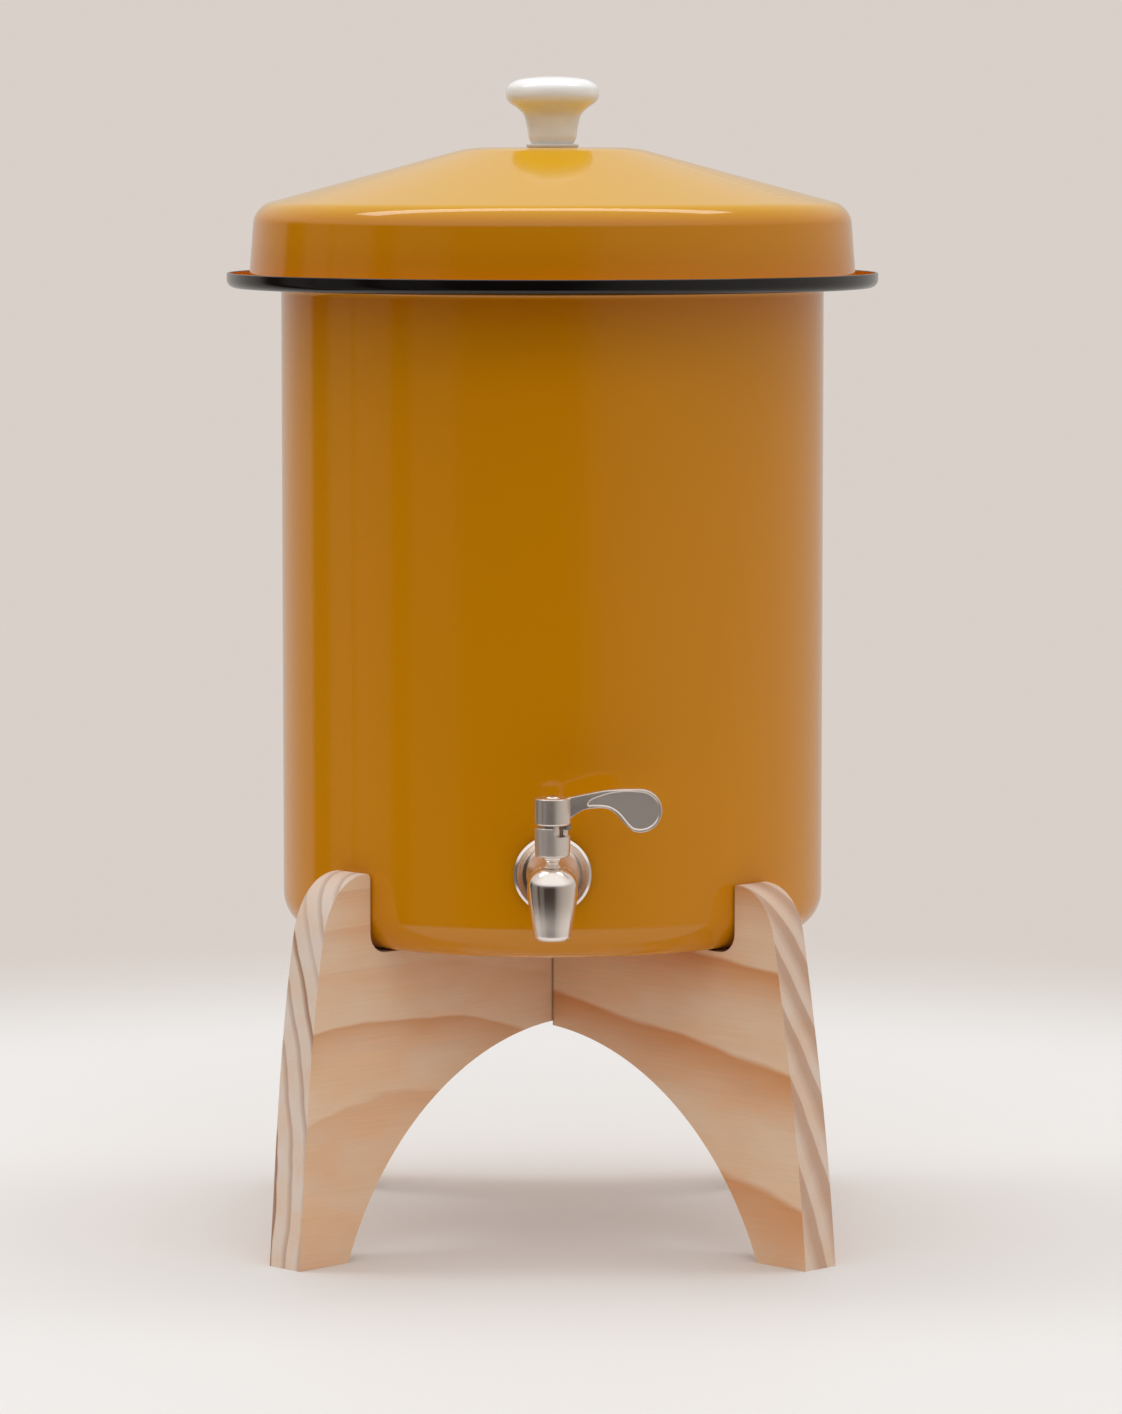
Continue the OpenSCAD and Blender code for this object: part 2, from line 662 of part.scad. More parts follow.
// Hollow plug: its window faces away from the shank when closed and meets it when open
module valve_plug() {
    color(ptfe) at_tap() difference() {
        translate([0, 0, plug_z]) cylinder(d = plug_d, h = plug_l);
        translate([0, 0, plug_z - through_cut])
            cylinder(d = plug_hollow_d, h = plug_l - plug_roof_t + through_cut);
        rotate([0, -90, 0]) cylinder(d = window_d, h = plug_d);
        cylinder(r = stem_d / 2 - 0.6 + thread_gap, h = plug_top_z + through_cut);
        for (z = plug_ring_z) translate([0, 0, z]) o_groove(plug_d / 2, plug_ring_t);
    }
}

module plug_o_rings() {
    color(rubber) at_tap() for (z = plug_ring_z) translate([0, 0, z]) o_ring(plug_d / 2, plug_ring_t);
}

// Gaskets, washer and nut on the shank

module outer_gasket() {
    color(rubber) difference() {
        along_shank() translate([0, 0, pot_r - 4])
            ring(gasket_d / 2, shank_d / 2 + thread_gap, 4 + gasket_t);
        cylinder(r = pot_r, h = 2 * tap_z, $fn = 180);
    }
}

module inner_gasket() {
    color(rubber) intersection() {
        along_shank() translate([0, 0, inner_gasket_y])
            ring(inner_gasket_d / 2, shank_d / 2 + thread_gap, inner_gasket_t + 1);
        cylinder(r = pot_inner_r, h = 2 * tap_z, $fn = 180);
    }
}

module nut_washer() {
    color(stainless) along_shank() translate([0, 0, nut_washer_y])
        ring(inner_gasket_d / 2, shank_d / 2 + thread_gap, nut_washer_t);
}

module tap_nut() {
    color(stainless) along_shank() translate([0, 0, nut_y]) difference() {
        cylinder(d = nut_w / cos(30), h = nut_t, $fn = 6);
        translate([0, 0, -through_cut]) cylinder(r = shank_d / 2 + thread_gap, h = nut_t + 2 * through_cut);
    }
}

// Clay filter

module clay_filter() {
    bottom_r = filter_top_r - filter_lean;
    rim_z = flange_floor_z + filter_rim_h;
    inner_r = filter_top_r - clay_t;
    path = [[0, filter_z], [bottom_r, filter_z], [filter_top_r, flange_floor_z],
        [filter_rim_r, flange_floor_z], [filter_rim_r, rim_z], [inner_r, rim_z],
        [bottom_r - clay_t, filter_z + clay_t], [0, filter_z + clay_t]];
    color(clay) rotate_extrude($fn = 120) polygon(rounded(path,
        [0, clay_corner_r, 1.5, 2, clay_rim_r, clay_rim_r, clay_corner_r - 2, 0], 6));
}

// Lid and knob

module lid_shell() {
    path = [[lid_r, lid_z], [lid_r, lid_z + lid_hem_h], [lid_shoulder_x, lid_shoulder_z],
        [lid_top_r, lid_top_z], [0, lid_top_z]];
    color(enamel) difference() {
        rotate_extrude($fn = 180) polygon(sheet(path, [0, 0, lid_shoulder_r, lid_blend_r, 0], sheet_t));
        translate([0, 0, lid_top_z - 3]) cylinder(r = knob_hole_r, h = 6);
    }
}

module lid_knob() {
    neck_r = knob_neck_d / 2;
    outline = curve([for (p = knob_shape) [neck_r + p.x * (knob_d / 2 - neck_r), p.y * knob_h]]);
    color(white_glaze) translate([0, 0, knob_z]) difference() {
        rotate_extrude() polygon(concat([[0, 0]], outline, [[0, knob_h]]));
        translate([0, 0, -through_cut])
            cylinder(r = insert_d / 2 + thread_gap, h = insert_sink + insert_l + 1 + through_cut);
    }
}

module knob_washer() {
    color(clear_plastic) translate([0, 0, lid_top_z]) ring(knob_washer_d / 2, knob_hole_r, knob_washer_t);
}

module knob_insert() {
    color(brass) translate([0, 0, knob_z + insert_sink])
        ring(insert_d / 2, knob_screw_d / 2 + thread_gap, insert_l);
}

module screw_washer() {
    color(stainless) translate([0, 0, screw_head_z]) ring(screw_washer_r, knob_hole_r, screw_washer_t);
}

module knob_screw() {
    r = knob_screw_head_r;
    head = rounded([[0, screw_head_z - knob_screw_head_h], [r, screw_head_z - knob_screw_head_h],
        [r, screw_head_z], [knob_screw_d / 2, screw_head_z]], [0, 1.2, 0, 0], 4);
    color(stainless) rotate_extrude() polygon(concat(head,
        [[knob_screw_d / 2, screw_head_z + knob_screw_l], [0, screw_head_z + knob_screw_l]]));
}

stand_board_left();
stand_board_right();
pot_body();
rim_band();
tap_body();
tap_bonnet();
thrust_washer();
outer_gasket();
inner_gasket();
nut_washer();
tap_nut();
tap_lever();
lever_screw();
tap_stem();
stem_o_rings();
valve_plug();
plug_o_rings();
clay_filter();
lid_shell();
lid_knob();
knob_washer();
knob_insert();
screw_washer();
knob_screw();
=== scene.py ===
import math

import bmesh
import bpy
from mathutils import Matrix, Vector
from mathutils.geometry import interpolate_bezier


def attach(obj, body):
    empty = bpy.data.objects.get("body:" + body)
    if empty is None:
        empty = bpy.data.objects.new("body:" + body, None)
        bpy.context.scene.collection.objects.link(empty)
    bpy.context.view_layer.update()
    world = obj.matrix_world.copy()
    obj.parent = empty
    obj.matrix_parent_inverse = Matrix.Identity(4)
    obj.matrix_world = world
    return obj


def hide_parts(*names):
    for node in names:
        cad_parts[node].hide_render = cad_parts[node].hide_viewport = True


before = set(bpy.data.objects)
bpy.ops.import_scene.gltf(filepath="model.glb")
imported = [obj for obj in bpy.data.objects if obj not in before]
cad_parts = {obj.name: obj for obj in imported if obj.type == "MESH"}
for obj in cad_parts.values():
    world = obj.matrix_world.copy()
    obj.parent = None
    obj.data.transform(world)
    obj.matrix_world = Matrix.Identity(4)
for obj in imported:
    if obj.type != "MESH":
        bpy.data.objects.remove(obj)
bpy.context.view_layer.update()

# Lengths below are millimetres unless a line says otherwise.
MM = 0.001


# ---------------------------------------------------------------------------------------------
# Stand boards
# Two planks of clear pine, 24 mm thick, sawn to shape on a bandsaw and sanded, left bare. They
# cross in a half lap under the pot, and four prongs hold the pot's bottom corner.

SEAT_Z, SEAT_R = 169.5, 11
PRONG_X = 153.2
BOARD_T = 24
SHOULDER_Z = 181
LAP_Z = 143.75
SLOT_HALF = 12.15
FOOT_IN, FOOT_OUT = 17.5, 54
SANDED_R = 0.8
# how far the outer edge leans at the foot and at the shoulder, and how full the crown's round is
FOOT_LEAN, SHOULDER_LEAN, CROWN_FULL = 0.08, 0.18, 0.55
# points closer than this are one point
SAME_POINT = 0.02


def colour(code):
    """An sRGB hex code as the linear colour that shaders take."""
    channels = [int(code[i:i + 2], 16) / 255 for i in (0, 2, 4)]
    return [c / 12.92 if c <= 0.04045 else ((c + 0.055) / 1.055) ** 2.4 for c in channels] + [1]


def add(tree, kind, inputs=(), **settings):
    """Adds a shader node with its settings; an input is a value, or (node, output) to link."""
    made = tree.nodes.new("ShaderNode" + kind)
    for name, value in settings.items():
        setattr(made, name, value)
    for name, value in dict(inputs).items():
        if isinstance(value, tuple):
            tree.links.new(value[0].outputs[value[1]], made.inputs[name])
        else:
            made.inputs[name].default_value = value
    return made


def stops(ramp, *points):
    """Sets a colour ramp's stops from (position, hex colour or grey level)."""
    elements = ramp.color_ramp.elements
    while len(elements) < len(points):
        elements.new(0.5)
    for element, (position, value) in zip(elements, points):
        element.position = position
        element.color = colour(value) if isinstance(value, str) else (value, value, value, 1)
    return ramp


def material(name, **values):
    """A new material, its node tree and its shader, with the values set on the shader's sockets."""
    made = bpy.data.materials.new(name)
    made.use_nodes = True
    shader = made.node_tree.nodes["Principled BSDF"]
    for socket, value in values.items():
        shader.inputs[socket.replace("_", " ")].default_value = value
    return made, made.node_tree, shader


def joined(tree, source, output, target, socket):
    """Links an output of one node to a socket of another."""
    tree.links.new(source.outputs[output], target.inputs[socket])


def piece(name, work, body, slot, finish, *nodes, sharp=35, flat=None):
    """Makes the object from its bmesh, shown in place of the CAD nodes that are named. Faces that
    look along flat, or against it, stay flat."""
    for face in work.faces:
        face.smooth = flat is None or abs(face.normal.dot(flat)) < 0.999
    for edge in work.edges:
        edge.smooth = edge.calc_face_angle(0) < math.radians(sharp)
    mesh = bpy.data.meshes.new(name)
    work.to_mesh(mesh)
    work.free()
    mesh.materials.append(finish)
    made = bpy.data.objects.new(name, mesh)
    bpy.context.scene.collection.objects.link(made)
    made.modifiers.new("even shading", "WEIGHTED_NORMAL").keep_sharp = True
    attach(made, body)
    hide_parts(*nodes)
    return made


def curve(*points, steps=8):
    """A Bezier curve from an end point, two handles and an end point."""
    return [tuple(p) for p in interpolate_bezier(*(Vector(p) for p in points), steps + 1)]


def pine(name, turn, side, width, bend, tilt, arch, wander, phase, strengths, repeats, spread, ends):
    """Flat-sawn pine. Its growth rings are cones round the trunk's heart, so they meet the plank's
    faces as broad tan bands, sharp on one side, and its sawn edges as narrow lines. A ring is width
    mm wide. Bend and arch each give a centre and a rate, for how the rings curve with height and
    along the plank; tilt leans them and wander disturbs them. The strengths say how dark each ring's
    late wood is. The edges show repeats lines for each ring, over that spread of it, in the colours
    of ends."""
    made, tree, shader = material(name, Roughness=0.55, IOR=1.5)
    place = add(tree, "TexCoord")
    plank = add(tree, "Mapping", {"Vector": (place, "Object"), "Rotation": [0, 0, -turn],
                                  "Scale": [1 / MM] * 3})
    # along the plank, through its thickness, and up
    axes = add(tree, "SeparateXYZ", {"Vector": (plank, 0)})
    depth = add(tree, "Math", {0: (axes, "Y"), 1: side}, operation="MULTIPLY")
    for axis, (centre, rate) in (("Z", bend), ("X", arch)):
        away = add(tree, "Math", {0: (axes, axis), 1: centre}, operation="SUBTRACT")
        away = add(tree, "Math", {0: (away, 0), 1: (away, 0)}, operation="MULTIPLY")
        depth = add(tree, "Math", {0: (away, 0), 1: rate, 2: (depth, 0)}, operation="MULTIPLY_ADD")
    depth = add(tree, "Math", {0: (axes, "X"), 1: tilt, 2: (depth, 0)}, operation="MULTIPLY_ADD")
    # the rings wander over some 70 mm along the plank, 50 mm through it and 33 mm up
    drift = add(tree, "Mapping", {"Vector": (plank, 0), "Scale": [1 / 70, 1 / 50, 1 / 33],
                                  "Location": [phase, 0, 0]})
    sway = add(tree, "TexNoise", {"Vector": (drift, 0), "Scale": 1.0, "Detail": 2.0, "Roughness": 0.4})
    depth = add(tree, "Math", {0: (sway, 0), 1: wander, 2: (depth, 0)}, operation="MULTIPLY_ADD")
    rings = add(tree, "Math", {0: (depth, 0), 1: 1 / width, 2: phase - wander / width / 2},
                operation="MULTIPLY_ADD")
    ring = add(tree, "Math", {0: (rings, 0)}, operation="FRACT")
    # one strength for each ring, from three rings before the middle one to three after it
    count = add(tree, "MapRange", {"Value": (rings, 0), "From Min": -3, "From Max": 3})
    dark = stops(add(tree, "ValToRGB", {"Fac": (count, 0)}),
                 *[(i / 6, strength) for i, strength in enumerate(strengths)])
    dark.color_ramp.interpolation = "CONSTANT"
    # late wood where the ring ends, fading into the next pale early wood
    late = stops(add(tree, "ValToRGB", {"Fac": (ring, 0)}),
                 (0.0, 0.0), (0.05, 1.0), (0.15, 0.8), (0.35, 0.4), (0.6, 0.08), (1.0, 0.0))
    late = add(tree, "Math", {0: (late, 0), 1: (dark, 0)}, operation="MULTIPLY")
    face = stops(add(tree, "ValToRGB", {"Fac": (late, 0)}), (0.0, "f2d4b6"), (1.0, "dc9c66"))
    line = add(tree, "Math", {0: (rings, 0), 1: repeats}, operation="MULTIPLY")
    line = add(tree, "Math", {0: (line, 0)}, operation="FRACT")
    line = stops(add(tree, "ValToRGB", {"Fac": (line, 0)}),
                 (0.0, 0.0), (0.08, 1.0), (spread / 2, 0.75), (spread, 0.0))
    share = add(tree, "Math", {0: (dark, 0), 1: 1.1, 2: 0.15}, operation="MULTIPLY_ADD")
    line = add(tree, "Math", {0: (line, 0), 1: (share, 0)}, operation="MULTIPLY")
    end = stops(add(tree, "ValToRGB", {"Fac": (line, 0)}), (0.0, ends[0]), (1.0, ends[1]))
    # the edges are sawn across the fibres and look greyer than the faces
    facing = add(tree, "VectorMath",
                 {0: (place, "Normal"), 1: [-math.sin(turn), math.cos(turn), 0]},
                 operation="DOT_PRODUCT")
    facing = add(tree, "Math", {0: (facing, "Value")}, operation="ABSOLUTE")
    across = add(tree, "MapRange", {"Value": (facing, 0), "From Min": 0.85, "From Max": 0.5})
    wood = add(tree, "Mix", {0: (across, 0), 6: (face, 0), 7: (end, 0)}, data_type="RGBA")
    # fibres run along the plank: faint streaks about 1 mm high and 60 mm long, drawn a little
    # coarser than they are, and clouds about 50 mm long
    fibre = add(tree, "Mapping", {"Vector": (plank, 0), "Scale": [1 / 60, 1 / 1.1, 1 / 1.1]})
    fibres = add(tree, "TexNoise", {"Vector": (fibre, 0), "Scale": 1.0, "Detail": 4.0,
                                    "Roughness": 0.6})
    streak = stops(add(tree, "ValToRGB", {"Fac": (fibres, 0)}), (0.3, 0.94), (0.62, 1.0))
    haze = add(tree, "Mapping", {"Vector": (plank, 0), "Scale": [1 / 50, 1 / 20, 1 / 20]})
    clouds = add(tree, "TexNoise", {"Vector": (haze, 0), "Scale": 1.0, "Detail": 2.0})
    cloudy = stops(add(tree, "ValToRGB", {"Fac": (clouds, 0)}), (0.35, "fff4e8"), (0.65, "ffffff"))
    for shade in (streak, cloudy):
        wood = add(tree, "Mix", {0: 1.0, 6: (wood, 2), 7: (shade, 0)}, data_type="RGBA",
                   blend_type="MULTIPLY")
    # painted shade in the corner where the planks cross, a dark line about 1 mm wide
    aside = add(tree, "Math", {0: (axes, "X")}, operation="ABSOLUTE")
    beside = add(tree, "MapRange", {"Value": (aside, 0), "From Min": BOARD_T / 2,
                                    "From Max": BOARD_T / 2 + 1.6})
    corner = stops(add(tree, "ValToRGB", {"Fac": (beside, 0)}), (0.0, 0.45), (0.5, 0.75), (1.0, 1.0))
    wood = add(tree, "Mix", {0: 1.0, 6: (wood, 2), 7: (corner, 0)}, data_type="RGBA",
               blend_type="MULTIPLY")
    joined(tree, wood, 2, shader, "Base Color")
    relief = add(tree, "Bump", {"Strength": 0.2, "Distance": 0.1 * MM, "Height": (fibres, 0)})
    joined(tree, relief, 0, shader, "Normal")
    return made


def board(name, turn, shoulder_w, prong_h, arch_h, crown_r, slotted_from_above, finish):
    """Draws half of the board's face as a wire, mirrors it, fills it and gives it its thickness."""
    work = bmesh.new()
    top = SEAT_Z + prong_h
    half_span = PRONG_X + FOOT_IN
    arch_r = (half_span ** 2 + arch_h ** 2) / (2 * arch_h)
    arch_end = 0 if slotted_from_above else SLOT_HALF
    foot, shoulder = Vector((PRONG_X + FOOT_OUT, 0)), Vector((PRONG_X + shoulder_w, SHOULDER_Z))
    crown = Vector((PRONG_X + crown_r, top))
    third, rise = SHOULDER_Z / 3, CROWN_FULL * (top - SHOULDER_Z)
    edge = curve(foot, foot + Vector((-FOOT_LEAN * third, third)),
                 shoulder + Vector((SHOULDER_LEAN * third, -third)), shoulder, steps=12)
    edge += curve(shoulder, shoulder + Vector((-SHOULDER_LEAN * rise, rise)),
                  crown + Vector((CROWN_FULL * (shoulder.x - crown.x), 0)), crown, steps=12)[1:]
    middle = [(0, SEAT_Z)]
    if slotted_from_above:
        middle = [(SLOT_HALF, SEAT_Z), (SLOT_HALF, LAP_Z), (0, LAP_Z)]
    line = edge + [(PRONG_X, top), (PRONG_X, SEAT_Z)] + middle
    spots = [work.verts.new((x * MM, 0, z * MM)) for x, z in line]
    for pair in zip(spots, spots[1:]):
        work.edges.new(pair)
    # the arch is a foot corner swung round the arch's centre
    swing = math.asin(half_span / arch_r) - math.asin(arch_end / arch_r)
    corner = work.verts.new((half_span * MM, 0, 0))
    swung = bmesh.ops.spin(work, geom=[corner], cent=(0, 0, (arch_h - arch_r) * MM), axis=(0, -1, 0),
                           angle=swing, steps=40)
    end = next(v for v in swung["geom_last"] if isinstance(v, bmesh.types.BMVert))
    work.edges.new((spots[0], corner))
    if not slotted_from_above:
        roof = [work.verts.new((x * MM, 0, LAP_Z * MM)) for x in (SLOT_HALF, 0)]
        work.edges.new((end, roof[0]))
        work.edges.new(roof)
    # the prong's inner corner at the top, and the corner of its seat
    for spot, r in ((spots[len(edge)], crown_r), (spots[len(edge) + 1], SEAT_R)):
        bmesh.ops.bevel(work, geom=[spot], offset=r * MM, offset_type="OFFSET", segments=6,
                        profile=0.5, affect="VERTICES", material=-1)
    bmesh.ops.remove_doubles(work, verts=work.verts, dist=SAME_POINT * MM)
    bmesh.ops.mirror(work, geom=work.verts[:] + work.edges[:], axis="X", merge_dist=SAME_POINT * MM)
    bmesh.ops.triangle_fill(work, edges=work.edges[:], use_beauty=True)
    grown = bmesh.ops.extrude_face_region(work, geom=work.faces[:])
    moved = [v for v in grown["geom"] if isinstance(v, bmesh.types.BMVert)]
    bmesh.ops.translate(work, verts=moved, vec=(0, BOARD_T * MM, 0))
    bmesh.ops.translate(work, verts=work.verts, vec=(0, -BOARD_T / 2 * MM, 0))
    bmesh.ops.recalc_face_normals(work, faces=work.faces)
    rims = [e for e in work.edges if abs(e.verts[0].co.y - e.verts[1].co.y) < SAME_POINT / 2 * MM
            and e.calc_face_angle() > 1]
    bmesh.ops.bevel(work, geom=rims, offset=SANDED_R * MM, segments=3, profile=0.5, affect="EDGES",
                    material=-1, clamp_overlap=True)
    bmesh.ops.rotate(work, verts=work.verts, cent=(0, 0, 0),
                     matrix=Matrix.Rotation(turn, 3, "Z"))
    return piece(name, work, "stand", "pine", finish, name,
                 flat=Vector((-math.sin(turn), math.cos(turn), 0)))


crossing = math.radians(45)
left_pine = pine("pine plank, bare, left", turn=crossing, side=1, width=12, bend=(35, -0.0018), tilt=0,
                 arch=(-140, -0.0005), wander=6, phase=2.45,
                 strengths=(0.3, 0.3, 0.15, 0.75, 0.38, 0.35, 0.8), repeats=1, spread=0.4,
                 ends=("e8d6c8", "a57a5e"))
right_pine = pine("pine plank, bare, right", turn=-crossing, side=-1, width=26, bend=(-129, -0.00092),
                  tilt=-0.07, arch=(0, 0), wander=6, phase=2.05,
                  strengths=(1.0, 1.0, 1.0, 1.0, 0.9, 0.9, 0.9), repeats=1.5, spread=0.75,
                  ends=("e4cdbb", "c9a68f"))
board("stand_board_left", crossing, shoulder_w=35.3, prong_h=44.5, arch_h=118, crown_r=3,
      slotted_from_above=True, finish=left_pine)
board("stand_board_right", -crossing, shoulder_w=29.3, prong_h=38, arch_h=115.5, crown_r=1,
      slotted_from_above=False, finish=right_pine)


# ---------------------------------------------------------------------------------------------
# Pot
# One sheet of steel, deep drawn with a round bottom corner and a wide flange whose edge turns
# up into a lip, then dipped in mustard vitreous enamel and fired, inside and out.

POT_Z = 169.55
POT_R = 152.5
FLANGE_Z = 532.05
LIP_R = 182.6
LIP_Z = 539.65
SHEET_T = 1
BOTTOM_ROUND, MOUTH_ROUND, LIP_ROUND = 21.5, 4, 4.4
HOLE_R = 8.2
TAP_Y, TAP_Z = 188, 218.05
# points that a spin or a cut leaves closer than this are one point
WELD = 0.001


def turned(corners, steps=192):
    """Turns a profile of (radius, height, rounding of the corner) round the Z axis."""
    work = bmesh.new()
    spots = [work.verts.new((r * MM, 0, z * MM)) for r, z, _ in corners]
    closed = corners[0][0] > 0 or corners[-1][0] > 0
    for pair in zip(spots, spots[1:] + (spots[:1] if closed else [])):
        work.edges.new(pair)
    for i, (_, _, rounding) in enumerate(corners):
        if rounding:
            before, here, after = (Vector(corners[(i + k) % len(corners)][:2]) for k in (-1, 0, 1))
            half = (before - here).angle(after - here) / 2
            bmesh.ops.bevel(work, geom=[spots[i]], offset=rounding * MM / math.tan(half),
                            offset_type="OFFSET", segments=max(4, min(12, round(rounding * 2))),
                            profile=0.5, affect="VERTICES", material=-1)
    bmesh.ops.spin(work, geom=work.verts[:] + work.edges[:], cent=(0, 0, 0), axis=(0, 0, 1),
                   angle=math.tau, steps=steps, use_merge=True)
    bmesh.ops.remove_doubles(work, verts=work.verts, dist=WELD * MM)
    bmesh.ops.recalc_face_normals(work, faces=work.faces)
    return work


def carved(work, tool, how="DIFFERENCE"):
    """Cuts one closed shape out of another, or joins the two into one skin."""
    parts = []
    for shape in (work, tool):
        mesh = bpy.data.meshes.new("carving")
        shape.to_mesh(mesh)
        shape.free()
        parts.append(bpy.data.objects.new("carving", mesh))
        bpy.context.scene.collection.objects.link(parts[-1])
    cut = parts[0].modifiers.new("cut", "BOOLEAN")
    cut.operation = how
    cut.object = parts[1]
    cut.solver = "EXACT"
    result = bmesh.new()
    result.from_object(parts[0], bpy.context.evaluated_depsgraph_get())
    for part in parts:
        mesh = part.data
        bpy.data.objects.remove(part)
        bpy.data.meshes.remove(mesh)
    bmesh.ops.remove_doubles(result, verts=result.verts, dist=WELD * MM)
    return result


def laid_on_shank(work):
    """Lays a shape turned on Z along the tap's shank: its height becomes the way out from the pot."""
    bmesh.ops.rotate(work, verts=work.verts, cent=(0, 0, 0),
                     matrix=Matrix.Rotation(math.radians(90), 3, "X"))
    bmesh.ops.translate(work, verts=work.verts, vec=(0, 0, TAP_Z * MM))
    return work


def glass_enamel(name, base, roughness, painted_top_light):
    """Vitreous enamel is a glass about 0.2 mm thick, so it mirrors softly over a dense colour, and
    its melt leaves a faint orange peel a few millimetres across. Faces that look up are coloured
    lighter than upright walls: painted light from above."""
    made, tree, shader = material(name, Roughness=roughness, IOR=1.52)
    place = add(tree, "TexCoord")
    lean = add(tree, "SeparateXYZ", {"Vector": (place, "Normal")})
    # faces that look up get the second, lighter colour: painted light from above
    tone = stops(add(tree, "ValToRGB", {"Fac": (lean, "Z")}), (0.35, base), (0.9, painted_top_light))
    joined(tree, tone, 0, shader, "Base Color")
    peel = add(tree, "TexNoise", {"Vector": (place, "Object"), "Scale": 1 / (4.5 * MM), "Detail": 1.0})
    relief = add(tree, "Bump", {"Strength": 0.05, "Distance": 0.2 * MM, "Height": (peel, 0)})
    joined(tree, relief, 0, shader, "Normal")
    return made


# the second mustard, on faces that look up, is painted light from above
mustard = glass_enamel("mustard vitreous enamel", "d58900", 0.08, "ce9900")

# a row of faces goes round the wall at the tap, so that its hole is cut from small faces
BELT_TOP, BELT_FOOT = TAP_Z + 13, TAP_Z - 13
pot = turned([
    (0, POT_Z, 0), (POT_R, POT_Z, BOTTOM_ROUND), (POT_R, BELT_FOOT, 0), (POT_R, BELT_TOP, 0),
    (POT_R, FLANGE_Z, MOUTH_ROUND), (LIP_R, FLANGE_Z, LIP_ROUND), (LIP_R, LIP_Z, 0),
    (LIP_R - SHEET_T, LIP_Z, 0), (LIP_R - SHEET_T, FLANGE_Z + SHEET_T, LIP_ROUND - SHEET_T),
    (POT_R - SHEET_T, FLANGE_Z + SHEET_T, MOUTH_ROUND + SHEET_T),
    (POT_R - SHEET_T, BELT_TOP, 0), (POT_R - SHEET_T, BELT_FOOT, 0),
    (POT_R - SHEET_T, POT_Z + SHEET_T, BOTTOM_ROUND - SHEET_T), (0, POT_Z + SHEET_T, 0)])
drill_from, drill_to = POT_R - 12.5, POT_R + 7.5
drill = turned([(0, drill_from, 0), (HOLE_R, drill_from, 0), (HOLE_R, drill_to, 0),
                (0, drill_to, 0)], 48)
pot = carved(pot, laid_on_shank(drill))
piece("pot_body", pot, "pot", "enamel", mustard, "pot_body")


# ---------------------------------------------------------------------------------------------
# Rim band
# The edge of the lip is dipped a second time in black enamel, which runs a few millimetres in
# under the flange and covers the bare steel at the top.

BLACK_T, BLACK_FROM = 0.4, 176
BLACK_R, BLACK_Z, BLACK_TOP = LIP_R + BLACK_T, FLANGE_Z - BLACK_T, LIP_Z + BLACK_T
band = turned([
    (BLACK_FROM, BLACK_Z, 0), (BLACK_R, BLACK_Z, LIP_ROUND + BLACK_T), (BLACK_R, BLACK_TOP, 0.6),
    (LIP_R - SHEET_T, BLACK_TOP, 0.3), (LIP_R - SHEET_T, LIP_Z, 0), (LIP_R, LIP_Z, 0),
    (LIP_R, FLANGE_Z, LIP_ROUND), (BLACK_FROM, FLANGE_Z, 0)])
# its second colour, on faces that look up, is painted light from above
piece("rim_band", band, "pot", "black_enamel",
      glass_enamel("black vitreous enamel", "0a0809", 0.14, "100d0d"), "rim_band")


# ---------------------------------------------------------------------------------------------
# Tap body
# Cast stainless steel, turned and polished to a satin shine: a spout shaped like a bulb, a neck
# above it, and a threaded shank that flares out into the flange against the pot.


def at_tap(work):
    """Moves a shape turned on Z to the tap's upright axis."""
    bmesh.ops.translate(work, verts=work.verts, vec=(0, -TAP_Y * MM, TAP_Z * MM))
    return work


def plain(points):
    """Profile points that need no rounding."""
    return [(x, z, 0) for x, z in points]


def steel(name, roughness, marks):
    """Stainless steel, turned and then polished: its fine marks run round it, so what it mirrors is
    drawn out up and down. They are drawn 0.7 mm high, many times too coarse, or none would show."""
    made, tree, shader = material(name, Metallic=1.0, Base_Color=colour("f4eae2"), Anisotropic=0.6)
    place = add(tree, "TexCoord")
    stretch = add(tree, "Mapping", {"Vector": (place, "Object"), "Scale": [0.12, 0.12, 1]})
    rub = add(tree, "TexNoise", {"Vector": (stretch, 0), "Scale": 1 / (0.7 * MM), "Detail": 3.0})
    blur = add(tree, "MapRange", {"Value": (rub, 0), "To Min": roughness - marks,
                                  "To Max": roughness + marks})
    joined(tree, blur, 0, shader, "Roughness")
    relief = add(tree, "Bump", {"Strength": 0.05, "Distance": 0.02 * MM, "Height": (rub, 0)})
    joined(tree, relief, 0, shader, "Normal")
    upright = add(tree, "CombineXYZ", {"Z": 1.0})
    joined(tree, upright, 0, shader, "Tangent")
    return made


polished = steel("stainless steel, polished", 0.16, 0.04)
satin = steel("stainless steel, satin", 0.36, 0.04)

# heights on the tap are from the shank's middle
SPOUT_R, WIDE_Z = 13.7, -2.5
MOUTH_R, MOUTH_Z = 10.1, -31.2
BEAD_Z = MOUTH_Z + 2.8
SHOULDER_TOP, NECK_R, NECK_TOP = 8.1, 5.4, 18.0
WAIST_R, WAIST_Z, BONNET_Z = 3.7, 10.1, 13.7
spout = turned(
    [(0, NECK_TOP, 0), (NECK_R, NECK_TOP, 0.4)]
    + plain(curve((NECK_R, BONNET_Z), (NECK_R - 0.2, BONNET_Z - 1.8), (WAIST_R, WAIST_Z + 1),
                  (WAIST_R, WAIST_Z), steps=10)[:-1])
    + [(WAIST_R, WAIST_Z, 0.5), (NECK_R, SHOULDER_TOP, 0.3)]
    + plain(curve((NECK_R + 1.4, SHOULDER_TOP), (NECK_R + 4.6, SHOULDER_TOP - 1.6),
                  (SPOUT_R, WIDE_Z + 5.5), (SPOUT_R, WIDE_Z), steps=14))
    + plain(curve((SPOUT_R, WIDE_Z), (SPOUT_R, WIDE_Z - 8), (MOUTH_R + 1.2, BEAD_Z + 7.5),
                  (MOUTH_R, BEAD_Z), steps=14)[1:])
    + [(MOUTH_R - 0.5, MOUTH_Z, 2.4), (0, MOUTH_Z, 0)], 96)
